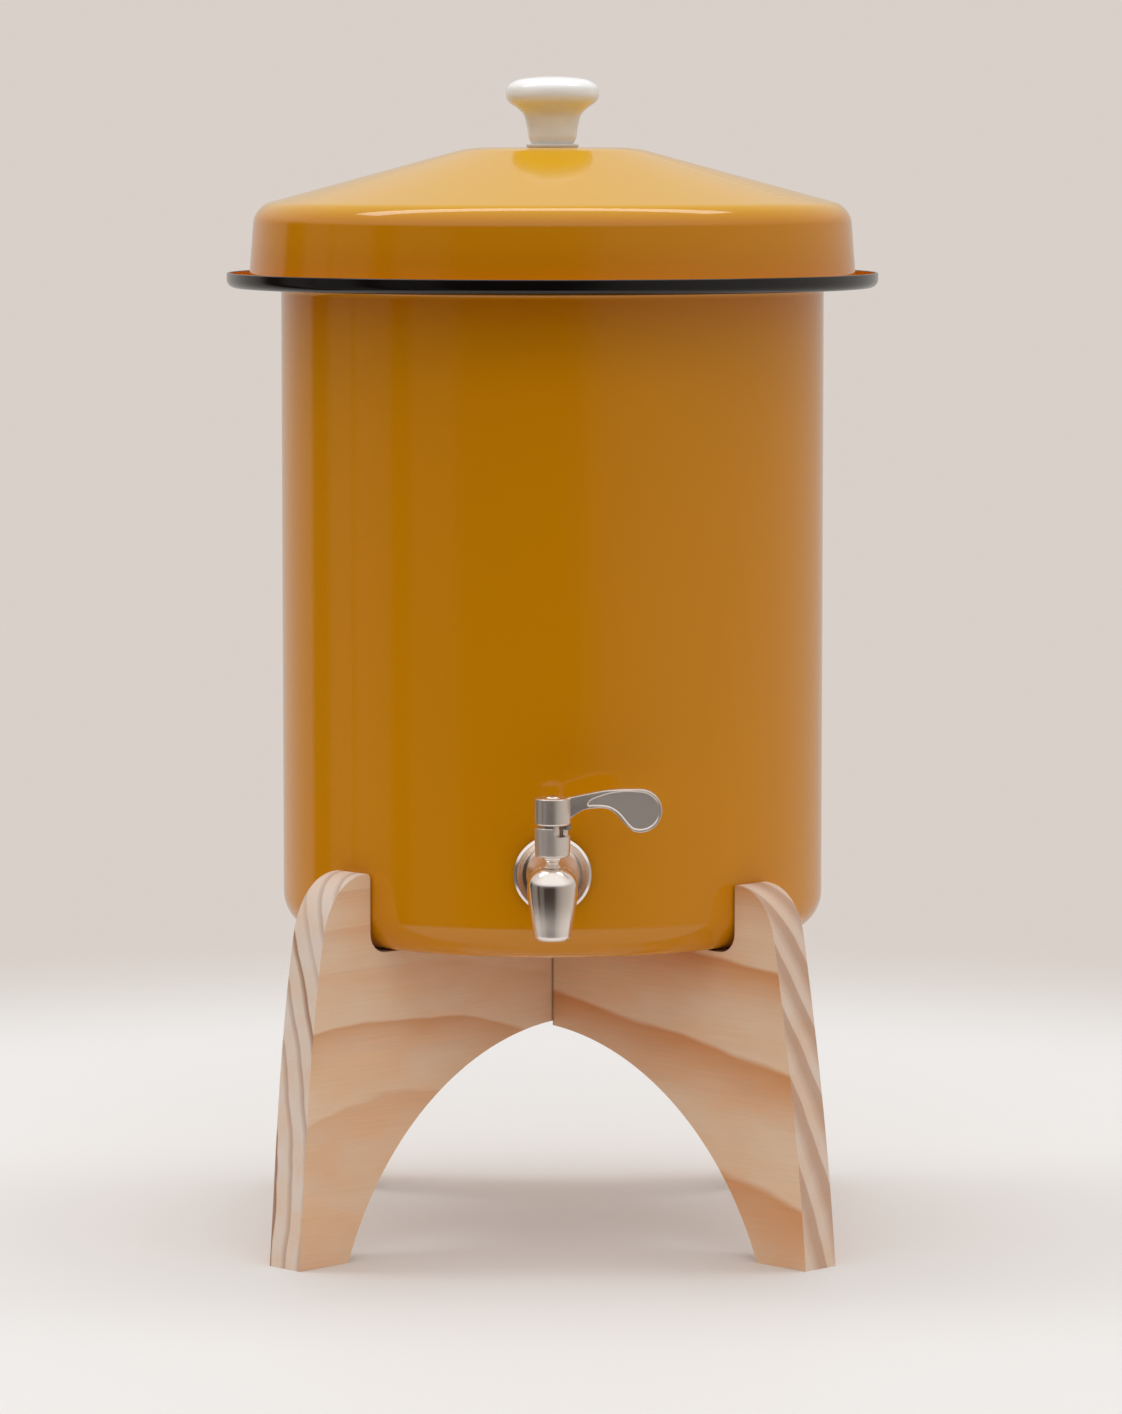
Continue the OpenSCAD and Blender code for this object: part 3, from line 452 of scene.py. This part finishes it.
# places along the shank are from the pot's axis
SHANK_R, SHANK_END = 8, 137
FLANGE_BACK, FLANGE_FRONT, FLANGE_R, BEVEL_W = 154.1, 156.5, 21.15, 1.6
BELL_Y, BELL_R, PIPE_R = 155.5, 16.35, 7.2
shank = turned(
    [(0, SHANK_END, 0), (SHANK_R, SHANK_END, 0.8), (SHANK_R, FLANGE_BACK, 0),
     (FLANGE_R, FLANGE_BACK, 0.3), (FLANGE_R, FLANGE_FRONT - 1.2, 0.3),
     (FLANGE_R - BEVEL_W, FLANGE_FRONT, 0.4)]
    + plain(curve((BELL_R, BELL_Y), (BELL_R - 2, BELL_Y + 4.5), (PIPE_R + 2.4, BELL_Y + 10),
                  (PIPE_R, TAP_Y - SPOUT_R), steps=20))
    + [(PIPE_R, TAP_Y - PIPE_R, 0), (0, TAP_Y - PIPE_R, 0)], 96)
# the hollow spout, the plug's chamber above it, and the stem's bore on top; both cutters run on
# past the metal
OUTLET_R, CHAMBER_R, STEM_BORE_R, INLET_R = 7.2, 6.55, 2.55, 3.5
CHAMBER_Z, CHAMBER_TOP = -10, 6.2
ways_foot, ways_top, inlet_end = MOUTH_Z - 8.8, NECK_TOP + 7, SHANK_END - 7
ways = turned([(0, ways_foot, 0), (OUTLET_R, ways_foot, 0), (OUTLET_R, CHAMBER_Z, 0),
               (CHAMBER_R, CHAMBER_Z, 0), (CHAMBER_R, CHAMBER_TOP, 0), (STEM_BORE_R, CHAMBER_TOP, 0),
               (STEM_BORE_R, ways_top, 0), (0, ways_top, 0)], 64)
inlet = turned([(0, inlet_end, 0), (INLET_R, inlet_end, 0), (INLET_R, TAP_Y, 0), (0, TAP_Y, 0)], 48)
body = carved(at_tap(spout), laid_on_shank(shank), "UNION")
body = carved(carved(body, at_tap(ways)), laid_on_shank(inlet))
piece("tap_body", body, "pot", "stainless", polished, "tap_body", sharp=40)


# ---------------------------------------------------------------------------------------------
# Tap bonnet
# A turned steel cap screwed on the neck. A slot milled in a third of its top edge stops the
# lever's lug at both ends of its turn.

BONNET_R, BONNET_FOOT_R, BONNET_TOP = 9.75, 9.2, 29.7
NECK_BORE_R, COLLAR_BORE_R, SHAFT_BORE_R = 5.45, 4.75, 3.95
COLLAR_FOOT, COLLAR_TOP, WELL_Z, WELL_R = BONNET_Z + 5.5, 22.25, 24.0, 6.8
SLOT_Z, SLOT_FROM, SLOT_SWEEP = 25.0, -88, 120


def ring_sector(inner, outer, foot, top, start, sweep):
    """A block swung round the Z axis from a start angle, in degrees."""
    work = bmesh.new()
    spots = [work.verts.new((r * MM, 0, z * MM))
             for r, z in ((inner, foot), (outer, foot), (outer, top), (inner, top))]
    face = work.faces.new(spots)
    bmesh.ops.rotate(work, verts=work.verts, cent=(0, 0, 0),
                     matrix=Matrix.Rotation(math.radians(start), 3, "Z"))
    bmesh.ops.spin(work, geom=[face], cent=(0, 0, 0), axis=(0, 0, 1), angle=math.radians(sweep),
                   steps=max(6, round(sweep / 5)), use_duplicate=False)
    bmesh.ops.remove_doubles(work, verts=work.verts, dist=WELD * MM)
    bmesh.ops.recalc_face_normals(work, faces=work.faces)
    return work


bonnet = turned([(COLLAR_BORE_R, COLLAR_TOP, 0), (COLLAR_BORE_R, COLLAR_FOOT, 0),
                 (NECK_BORE_R, COLLAR_FOOT, 0), (NECK_BORE_R, BONNET_Z, 0),
                 (BONNET_FOOT_R, BONNET_Z, 1.6), (BONNET_R, SLOT_Z, 0), (BONNET_R, BONNET_TOP, 0.4),
                 (WELL_R, BONNET_TOP, 0.2), (WELL_R, WELL_Z, 0), (SHAFT_BORE_R, WELL_Z, 0.2),
                 (SHAFT_BORE_R, COLLAR_TOP, 0)], 96)
bonnet = carved(bonnet, ring_sector(WELL_R - 0.2, BONNET_R + 1.25, SLOT_Z, BONNET_TOP + 2,
                                    SLOT_FROM, SLOT_SWEEP))
piece("tap_bonnet", at_tap(bonnet), "pot", "stainless", satin, "tap_bonnet")


# ---------------------------------------------------------------------------------------------
# Tap lever
# A steel casting: a round hub, and an arm that rises from it and ends in a round thumb paddle.
# Its front has a sunk face inside a raised border. A lug under the hub runs in the bonnet's slot.

HUB_R, HUB_Z, HUB_TOP = 9.9, 30.9, 45.5
ARM_L, PADDLE_R, PADDLE_Z, LEVER_T = 47, 11.8, 38.8, 5.2
SUNK_R, SUNK_DEPTH = 10.3, 1
SCREW_WELL_R, SCREW_WELL = 4.3, 0.8
LUG_H, LUG_FROM, LUG_SWEEP = 2.8, 3.5, 27
TENON_W, TENON_H = 5.3, 11
# the paddle's round runs between these angles, in degrees from the way the arm points
ROUND_FROM, ROUND_TO = 90, -110


def through(points, steps=5):
    """Smooth line through points, each handle a sixth of the way between its neighbours."""
    spots = [Vector(p) for p in points]
    line = []
    for i in range(len(spots) - 1):
        a, b = spots[i], spots[i + 1]
        before, after = spots[max(i - 1, 0)], spots[min(i + 2, len(spots) - 1)]
        line += curve(a, a + (b - before) / 6, b - (after - a) / 6, b, steps=steps)[:-1]
    return line + [tuple(spots[-1])]


def paddle(radius):
    """Points round the paddle's end, as (out along the arm, up)."""
    return [(ARM_L + radius * math.cos(math.radians(a)), radius * math.sin(math.radians(a)))
            for a in range(ROUND_FROM, ROUND_TO, -6)]


def slab(outline, layers):
    """A closed block from an outline on the lever's face: one loop of it for each (depth, how far it
    has grown sideways), with both ends filled."""
    work = bmesh.new()
    count = len(outline)
    loops = []
    for depth, grown in layers:
        loop = []
        for i in range(count):
            before, after = Vector(outline[i - 1]), Vector(outline[(i + 1) % count])
            side = (after - before).normalized() * grown
            x, z = outline[i]
            loop.append(work.verts.new(((x - side.y) * MM, depth * MM, (PADDLE_Z + z + side.x) * MM)))
        loops.append([work.edges.new((loop[i - 1], loop[i])) for i in range(count)])
    for near, far in zip(loops, loops[1:]):
        bmesh.ops.bridge_loops(work, edges=near + far)
    for end in (loops[0], loops[-1]):
        bmesh.ops.triangle_fill(work, edges=end, use_beauty=True)
    bmesh.ops.recalc_face_normals(work, faces=work.faces)
    return work


upper = through([(5.6, 6.6), (18.8, 9.3), (27.3, 11.0), (35.3, 11.7), (41.4, 11.8), (45, 11.8)])
lower = through([(42.3, -10.6), (38.5, -7.1), (33.8, -1.8), (28.7, 1.05), (22.1, 1.2), (16, 0.1),
                 (9.4, -4.25), (5.6, -6.1)])
# depths through the lever: its front and back, with their edges rounded
front, back = -LEVER_T / 2, LEVER_T / 2
plate = slab(upper + paddle(PADDLE_R) + lower,
             [(front, -0.7), (front + 0.2, -0.2), (front + 0.7, 0),
              (back - 0.7, 0), (back - 0.2, -0.2), (back, -0.7)])
sunk_upper = through([(18.6, 3.4), (19.6, 5.3), (22.4, 7.0), (29.2, 9.3), (35.8, 10.5), (41.5, 10.7),
                      (45, 10.5)])
sunk_lower = through([(42.6, -9.3), (39.7, -6.3), (35.0, -0.8), (29.4, 2.2), (22.1, 2.7), (19.4, 2.4)])
plate = carved(plate, slab(sunk_upper + paddle(SUNK_R) + sunk_lower,
                           [(front - 0.5, 0.5), (front, 0.3), (front + 0.3, 0), (front + 0.75, -0.15),
                            (front + SUNK_DEPTH, -0.5)]))
hub = turned([(0, HUB_Z, 0), (HUB_R, HUB_Z, 1.5), (HUB_R, HUB_TOP, 0.6), (SCREW_WELL_R, HUB_TOP, 0.2),
              (SCREW_WELL_R, HUB_TOP - SCREW_WELL, 0), (0, HUB_TOP - SCREW_WELL, 0)], 96)
lever = carved(hub, plate, "UNION")
lug = ring_sector(7, BONNET_R, HUB_Z - LUG_H, HUB_Z + 0.8, LUG_FROM, LUG_SWEEP)
lever = carved(lever, lug, "UNION")
# the square hole takes the stem's tenon
square = bmesh.new()
bmesh.ops.create_cube(square, size=1, matrix=Matrix.Translation((0, 0, (HUB_Z + 4.5) * MM))
                      @ Matrix.Diagonal((TENON_W * MM, TENON_W * MM, TENON_H * MM, 1)))
lever = carved(lever, square)

# the sunk face is left blasted, so it is duller than the rest of the casting; the mask finds its
# floor by its depth, out along the arm from the hub
blasted = steel("stainless steel, satin with a blasted face", 0.3, 0.04)
tree, shader = blasted.node_tree, blasted.node_tree.nodes["Principled BSDF"]
place = add(tree, "TexCoord")
axes = add(tree, "SeparateXYZ", {"Vector": (place, "Object")})
depth = add(tree, "Math", {0: (axes, "Y"), 1: -(TAP_Y - front - SUNK_DEPTH) * MM},
            operation="SUBTRACT")
depth = add(tree, "Math", {0: (depth, 0)}, operation="ABSOLUTE")
sunken = add(tree, "MapRange", {"Value": (depth, 0), "From Min": 0.4 * MM, "From Max": 0.2 * MM})
outward = add(tree, "MapRange", {"Value": (axes, "X"), "From Min": 17.5 * MM, "From Max": 18 * MM})
mask = add(tree, "Math", {0: (sunken, 0), 1: (outward, 0)}, operation="MULTIPLY")
old = shader.inputs["Roughness"].links[0].from_node
rougher = add(tree, "Math", {0: (mask, 0), 1: 0.05, 2: (old, 0)}, operation="MULTIPLY_ADD")
joined(tree, rougher, 0, shader, "Roughness")
piece("tap_lever", at_tap(lever), "tap_handle", "stainless", blasted, "tap_lever", sharp=32)


# ---------------------------------------------------------------------------------------------
# Lever screw
# A small domed stainless screw in the top of the hub, with a hexagon socket for its key.

HEAD_R, HEAD_Z = 4.1, 44.7
HEAD_TOP, THREAD_R, THREAD_END = HEAD_Z + 2.4, 1.5, 33.4
SOCKET_R, SOCKET_DEPTH = 1.5, 1.5
dome = turned([(0, THREAD_END, 0), (THREAD_R, THREAD_END, 0.4), (THREAD_R, HEAD_Z, 0),
               (HEAD_R, HEAD_Z, 0)]
              + plain(curve((HEAD_R, HEAD_Z + 0.9), (HEAD_R - 0.2, HEAD_Z + 1.7),
                            (HEAD_R / 2, HEAD_TOP), (0, HEAD_TOP), steps=8)), 64)
socket = bmesh.new()
bmesh.ops.create_cone(socket, cap_ends=True, segments=6, radius1=SOCKET_R * MM, radius2=SOCKET_R * MM,
                      depth=2 * SOCKET_DEPTH * MM, matrix=Matrix.Translation((0, 0, HEAD_TOP * MM)))
piece("lever_screw", at_tap(carved(dome, socket)), "tap_handle", "stainless", polished, "lever_screw")


# ---------------------------------------------------------------------------------------------
# Tap fittings
# The turned and moulded parts in and behind the tap: stem, hollow plug, washers, rings, gaskets
# and the nut inside the pot. Each keeps its form, with its round sides smoothed.


def smoothed(node, body, slot, finish):
    """Merges a copy of a CAD node's loose triangles, so that its round sides shade smoothly."""
    work = bmesh.new()
    work.from_mesh(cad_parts[node].data)
    bmesh.ops.remove_doubles(work, verts=work.verts, dist=WELD * MM)
    return piece(node, work, body, slot, finish, node, sharp=30)


def moulded(name, base, roughness, bump):
    """Rubber or plastic, moulded or turned: an even colour between two close tones, and a fine grain
    that is drawn about 1 mm across, coarser than it is, so that it shows."""
    made, tree, shader = material(name, Roughness=roughness)
    place = add(tree, "TexCoord")
    grain = add(tree, "TexNoise", {"Vector": (place, "Object"), "Scale": 1 / (1.1 * MM), "Detail": 3.0})
    tone = stops(add(tree, "ValToRGB", {"Fac": (grain, 0)}), (0.3, base[0]), (0.7, base[1]))
    joined(tree, tone, 0, shader, "Base Color")
    relief = add(tree, "Bump", {"Strength": bump, "Distance": 0.05 * MM, "Height": (grain, 0)})
    joined(tree, relief, 0, shader, "Normal")
    return made


rubber = moulded("silicone rubber, black", ("141313", "1d1b1a"), 0.55, 0.3)
ptfe = moulded("PTFE, turned", ("e9e7e0", "f2f1ec"), 0.42, 0.15)
smoothed("thrust_washer", "pot", "ptfe", ptfe)
for name in ("outer_gasket", "inner_gasket"):
    smoothed(name, "pot", "rubber", rubber)
for name in ("nut_washer", "tap_nut"):
    smoothed(name, "pot", "stainless", satin)
smoothed("tap_stem", "tap_handle", "stainless", satin)
smoothed("valve_plug", "tap_handle", "ptfe", ptfe)
for name in ("stem_o_rings", "plug_o_rings"):
    smoothed(name, "tap_handle", "rubber", rubber)


# ---------------------------------------------------------------------------------------------
# Clay filter
# Clay and sawdust pressed in a mould and fired, which leaves a porous red-brown pot. It hangs by
# its rim on the pot's flange.

FILTER_Z, FILTER_FOOT_R, FILTER_NECK_R = 293.05, 118, 146
FILTER_RIM_R, FILTER_RIM_Z = 164.7, 551.05
CLAY_T, BOWL_TOP_R, BOWL_FOOT_R = 14, 132, 104
hung_z, bowl_floor = FLANGE_Z + SHEET_T, FILTER_Z + CLAY_T
bowl = turned([(0, FILTER_Z, 0), (FILTER_FOOT_R, FILTER_Z, 14), (FILTER_NECK_R, hung_z, 1.5),
               (FILTER_RIM_R, hung_z, 2), (FILTER_RIM_R, FILTER_RIM_Z, 5),
               (BOWL_TOP_R, FILTER_RIM_Z, 5), (BOWL_FOOT_R, bowl_floor, 12), (0, bowl_floor, 0)], 144)
# the clay fires a little unevenly, in clouds 55 mm across, and the sawdust leaves pits 2.4 mm apart
clay, tree, shader = material("terracotta, fired with sawdust", Roughness=0.9)
place = add(tree, "TexCoord")
cloud = add(tree, "TexNoise", {"Vector": (place, "Object"), "Scale": 1 / (55 * MM), "Detail": 6.0,
                               "Roughness": 0.6})
tone = stops(add(tree, "ValToRGB", {"Fac": (cloud, 0)}),
             (0.32, "a8603f"), (0.5, "bd7350"), (0.7, "cc8a66"))
pores = add(tree, "TexVoronoi", {"Vector": (place, "Object"), "Scale": 1 / (2.4 * MM),
                                 "Randomness": 1.0})
pits = stops(add(tree, "ValToRGB", {"Fac": (pores, "Distance")}), (0.12, 0.45), (0.3, 1.0))
speckled = add(tree, "Mix", {0: 0.6, 6: (tone, 0), 7: (pits, 0)}, data_type="RGBA",
               blend_type="MULTIPLY")
joined(tree, speckled, 2, shader, "Base Color")
relief = add(tree, "Bump", {"Strength": 0.6, "Distance": 0.4 * MM, "Height": (pits, 0)})
joined(tree, relief, 0, shader, "Normal")
piece("clay_filter", bowl, "filter", "terracotta", clay, "clay_filter")


# ---------------------------------------------------------------------------------------------
# Lid
# Pressed from one steel sheet and enamelled like the pot: a short straight hem, a skirt that leans
# in a little, a rounded shoulder, and a low cone with a flat middle for the knob.

LID_Z, LID_TOP = FLANGE_Z + SHEET_T, 609.9
SKIRT_R, HEM_H = 170.5, 3
# the corners where skirt and cone, and cone and flat middle, would meet, outside and inside
CONE_FOOT, CONE_FOOT_IN = (167.3, 577.05), (166.36, 576.27)
CONE_TOP_R, CONE_TOP_IN_R = 46.4, 46.53
SHOULDER_ROUND, TOP_ROUND = 13, 60
SCREW_HOLE_R = 2.75
lid = turned([
    (SKIRT_R, LID_Z, 0), (SKIRT_R, LID_Z + HEM_H, 0), (*CONE_FOOT, SHOULDER_ROUND),
    (CONE_TOP_R, LID_TOP, TOP_ROUND), (SCREW_HOLE_R, LID_TOP, 0), (SCREW_HOLE_R, LID_TOP - SHEET_T, 0),
    (CONE_TOP_IN_R, LID_TOP - SHEET_T, TOP_ROUND - SHEET_T), (*CONE_FOOT_IN, SHOULDER_ROUND - SHEET_T),
    (SKIRT_R - SHEET_T, LID_Z + HEM_H, 0), (SKIRT_R - SHEET_T, LID_Z, 0)])
piece("lid_shell", lid, "lid", "enamel", mustard, "lid_shell")


# ---------------------------------------------------------------------------------------------
# Knob
# A turned mushroom knob with a thick white glaze, on a pale clear washer that keeps it off the
# enamel. A screw from inside the lid holds it.

WASHER_R, WASHER_T = 14.7, 2
KNOB_Z, KNOB_H, KNOB_NECK_R, KNOB_R = LID_TOP + WASHER_T, 37.8, 14.1, 26.2
INSERT_R, INSERT_H = 3.85, 12.3
# from neck to cap, as shares of (the way from the neck's radius to the cap's, the knob's height)
shape = [(-0.2, 0), (-0.12, 0.04), (-0.04, 0.11), (0, 0.21), (0.08, 0.34), (0.19, 0.44), (0.47, 0.53),
         (0.81, 0.604), (0.97, 0.68), (1, 0.755), (0.93, 0.845), (0.7, 0.91), (0.3, 0.96),
         (-0.5, 0.993)]
outline = through([(KNOB_NECK_R + x * (KNOB_R - KNOB_NECK_R), KNOB_Z + z * KNOB_H) for x, z in shape])
knob = turned([(INSERT_R, KNOB_Z + INSERT_H, 0), (INSERT_R, KNOB_Z, 0)] + plain(outline)
              + [(0, KNOB_Z + KNOB_H, 0), (0, KNOB_Z + INSERT_H, 0)], 96)
# a thick white glaze with a glassy top, a touch uneven in tone every 16 mm or so
glaze, tree, shader = material("white glaze", Roughness=0.14, IOR=1.5, Coat_Weight=0.3,
                               Coat_Roughness=0.05)
place = add(tree, "TexCoord")
cloud = add(tree, "TexNoise", {"Vector": (place, "Object"), "Scale": 1 / (16 * MM), "Detail": 2.0})
tone = stops(add(tree, "ValToRGB", {"Fac": (cloud, 0)}), (0.35, "eeeeed"), (0.65, "f3f3f2"))
joined(tree, tone, 0, shader, "Base Color")
relief = add(tree, "Bump", {"Strength": 0.04, "Distance": 0.3 * MM, "Height": (cloud, 0)})
joined(tree, relief, 0, shader, "Normal")
piece("lid_knob", knob, "lid", "white_knob", glaze, "lid_knob")

washer = turned([(SCREW_HOLE_R, LID_TOP, 0), (WASHER_R, LID_TOP, 0.7), (WASHER_R, KNOB_Z, 0.7),
                 (SCREW_HOLE_R, KNOB_Z, 0)], 96)
clear = moulded("clear vinyl, moulded", ("ece6de", "f2ede6"), 0.3, 0.05)
clear.node_tree.nodes["Principled BSDF"].inputs["Transmission Weight"].default_value = 0.2
piece("knob_washer", washer, "lid", "clear_washer", clear, "knob_washer")

# turned brass, whose tool marks make it shine unevenly, drawn 1.4 mm wide so that they show
brass, tree, shader = material("brass, turned", Metallic=1.0)
place = add(tree, "TexCoord")
rub = add(tree, "TexNoise", {"Vector": (place, "Object"), "Scale": 1 / (1.4 * MM), "Detail": 3.0})
tone = stops(add(tree, "ValToRGB", {"Fac": (rub, 0)}), (0.3, "b8934c"), (0.7, "cdaa62"))
joined(tree, tone, 0, shader, "Base Color")
blur = add(tree, "MapRange", {"Value": (rub, 0), "To Min": 0.2, "To Max": 0.4})
joined(tree, blur, 0, shader, "Roughness")
smoothed("knob_insert", "lid", "brass", brass)
for name in ("screw_washer", "knob_screw"):
    smoothed(name, "lid", "stainless", satin)


# ---------------------------------------------------------------------------------------------
# Studio
# A pale floor that runs out into a warm grey wall, a long soft light overhead, a smaller one in
# front that fills, and a camera level with the lid's top that looks a little down.

WALL, FLOOR = "d9d0c9", "e6e5e4"

scene = bpy.context.scene
scene.view_settings.view_transform = "Standard"

ground, tree, shader = material("studio floor", Roughness=0.6, Specular_IOR_Level=0.35,
                                Base_Color=colour(FLOOR))
place = add(tree, "TexCoord")
# the floor fades out with its distance from the pot, in metres
reach = add(tree, "VectorMath", {0: (place, "Object")}, operation="LENGTH")
fade = add(tree, "MapRange", {"Value": (reach, "Value"), "From Min": 0.62, "From Max": 1.25},
           interpolation_type="SMOOTHERSTEP")
# what the steel and enamel mirror of it ends sooner, as at the edge of a table
edge = add(tree, "MapRange", {"Value": (reach, "Value"), "From Min": 0.45, "From Max": 0.62},
           interpolation_type="SMOOTHERSTEP")
ray = add(tree, "LightPath")
edge = add(tree, "Math", {0: (edge, 0), 1: (ray, "Is Glossy Ray")}, operation="MULTIPLY")
fade = add(tree, "Math", {0: (fade, 0), 1: (edge, 0)}, operation="MAXIMUM")
gone = add(tree, "BsdfTransparent")
blend = add(tree, "MixShader", {0: (fade, 0), 1: (shader, 0), 2: (gone, 0)})
joined(tree, blend, 0, tree.nodes["Material Output"], "Surface")
wall, _, _ = material("studio wall", Roughness=1.0, Specular_IOR_Level=0, Base_Color=colour("000000"),
                      Emission_Color=colour(WALL), Emission_Strength=1)


def disc(name, radius, z, finish):
    """A round sheet on the ground, in metres, with its finish."""
    work = bmesh.new()
    bmesh.ops.create_circle(work, cap_ends=True, segments=96, radius=radius)
    bmesh.ops.translate(work, verts=work.verts, vec=(0, 0, z))
    mesh = bpy.data.meshes.new(name)
    work.to_mesh(mesh)
    work.free()
    mesh.materials.append(finish)
    made = bpy.data.objects.new(name, mesh)
    scene.collection.objects.link(made)
    return made


disc("floor", 1.3, 0, ground)
# only the camera sees the wall's colour carried on under the floor
beyond = disc("far_floor", 60, -0.002, wall)
beyond.visible_diffuse = False
beyond.visible_glossy = False
beyond.visible_transmission = False
beyond.visible_shadow = False

world = bpy.data.worlds.new("studio")
scene.world = world
world.use_nodes = True
tree = world.node_tree
tree.nodes.clear()
place = add(tree, "TexCoord")
way = add(tree, "SeparateXYZ", {"Vector": (place, "Generated")})
forward = add(tree, "Math", {0: (way, "Y"), 1: -1.0}, operation="MULTIPLY")
round_about = add(tree, "Math", {0: (way, "X"), 1: (forward, 0)}, operation="ARCTAN2")
share = add(tree, "MapRange", {"Value": (round_about, 0), "From Min": -math.pi, "From Max": math.pi})


def room(ahead, behind, low, high, *points):
    """Light of the room by the way one looks from the pot, in degrees from the front to the right,
    with the brighter ceiling above, ahead and behind."""
    walls = stops(add(tree, "ValToRGB", {"Fac": (share, 0)}),
                  *[((angle + 180) / 360, tone) for angle, tone in points])
    ceiling = stops(add(tree, "ValToRGB", {"Fac": (share, 0)}),
                    (0.2, behind), (0.35, ahead), (0.65, ahead), (0.8, behind))
    up = add(tree, "MapRange", {"Value": (way, "Z"), "From Min": low, "From Max": high})
    return add(tree, "Mix", {0: (up, 0), 6: (walls, 0), 7: (ceiling, 0)}, data_type="RGBA")


# what lights the pot is softer than what it mirrors: pale screens with dark gaps between them on
# the left, the dark room behind the camera, and one long pale wall on the right
GAP = "3a2f28"
soft = room("f6f4f2", "f0eeec", 0.0, 0.6,
            (-180, "c4c2c0"), (-110, "bdbab8"), (-40, "74706e"), (0, "3e3b39"), (50, "a9a6a4"),
            (180, "c4c2c0"))
mirrored = room("ffffff", "dcd7d3", 0.14, 0.3,
                (-180, "c8c3be"), (-150, "cec8c2"), (-124, "a69f99"), (-121, GAP), (-111, GAP),
                (-107, "78716b"), (-95, "857e78"), (-93, "4a4540"), (-91, "857e78"), (-74, "7a736d"),
                (-70, GAP), (-64, GAP), (-60, "68615b"), (-44, "665f59"), (-36, GAP), (4, GAP),
                (12, "514b46"), (22, "837c75"), (50, "a79f97"), (90, "bcb5ae"), (125, "cac3bc"),
                (180, "c8c3be"))
ray = add(tree, "LightPath")
light = add(tree, "Mix", {0: (ray, "Is Glossy Ray"), 6: (soft, 2), 7: (mirrored, 2)}, data_type="RGBA")
lit = add(tree, "Background", {"Color": (light, 2), "Strength": 1.0})
seen = add(tree, "Background", {"Color": colour(WALL), "Strength": 1.0})
both = add(tree, "MixShader", {0: (ray, "Is Camera Ray"), 1: (lit, 0), 2: (seen, 0)})
add(tree, "OutputWorld", {"Surface": (both, 0)})

# places and sizes in metres, and power in watts
for name, spot, aim, width, depth, watts in (
        ("overhead", (-0.2, 0.15, 2.1), (-0.2, 0, 0.3), 2.8, 0.45, 16.8),
        ("front", (0.1, -1.35, 2.2), (0, 0, 0.3), 1.0, 0.6, 5)):
    lamp = bpy.data.lights.new(name, "AREA")
    lamp.shape = "RECTANGLE"
    lamp.size = width
    lamp.size_y = depth
    lamp.energy = watts
    lamp.color = (0.96, 0.98, 1.0)
    holder = bpy.data.objects.new(name, lamp)
    holder.location = spot
    holder.rotation_euler = (Vector(aim) - Vector(spot)).to_track_quat("-Z", "Y").to_euler()
    holder.visible_camera = False
    # the front light only fills: what the enamel mirrors is the long light overhead
    holder.visible_glossy = name == "overhead"
    scene.collection.objects.link(holder)

# a long lens, well back from the pot, so that its sides stay nearly upright; places in metres
lens = bpy.data.cameras.new("camera")
lens.lens = 150.8
lens.sensor_width = 36
camera = bpy.data.objects.new("camera", lens)
camera.location = (0, -3.339, 0.6153)
sight = Vector((0.0048, 0, 0.2944)) - camera.location
camera.rotation_euler = sight.to_track_quat("-Z", "Y").to_euler()
scene.collection.objects.link(camera)
scene.camera = camera
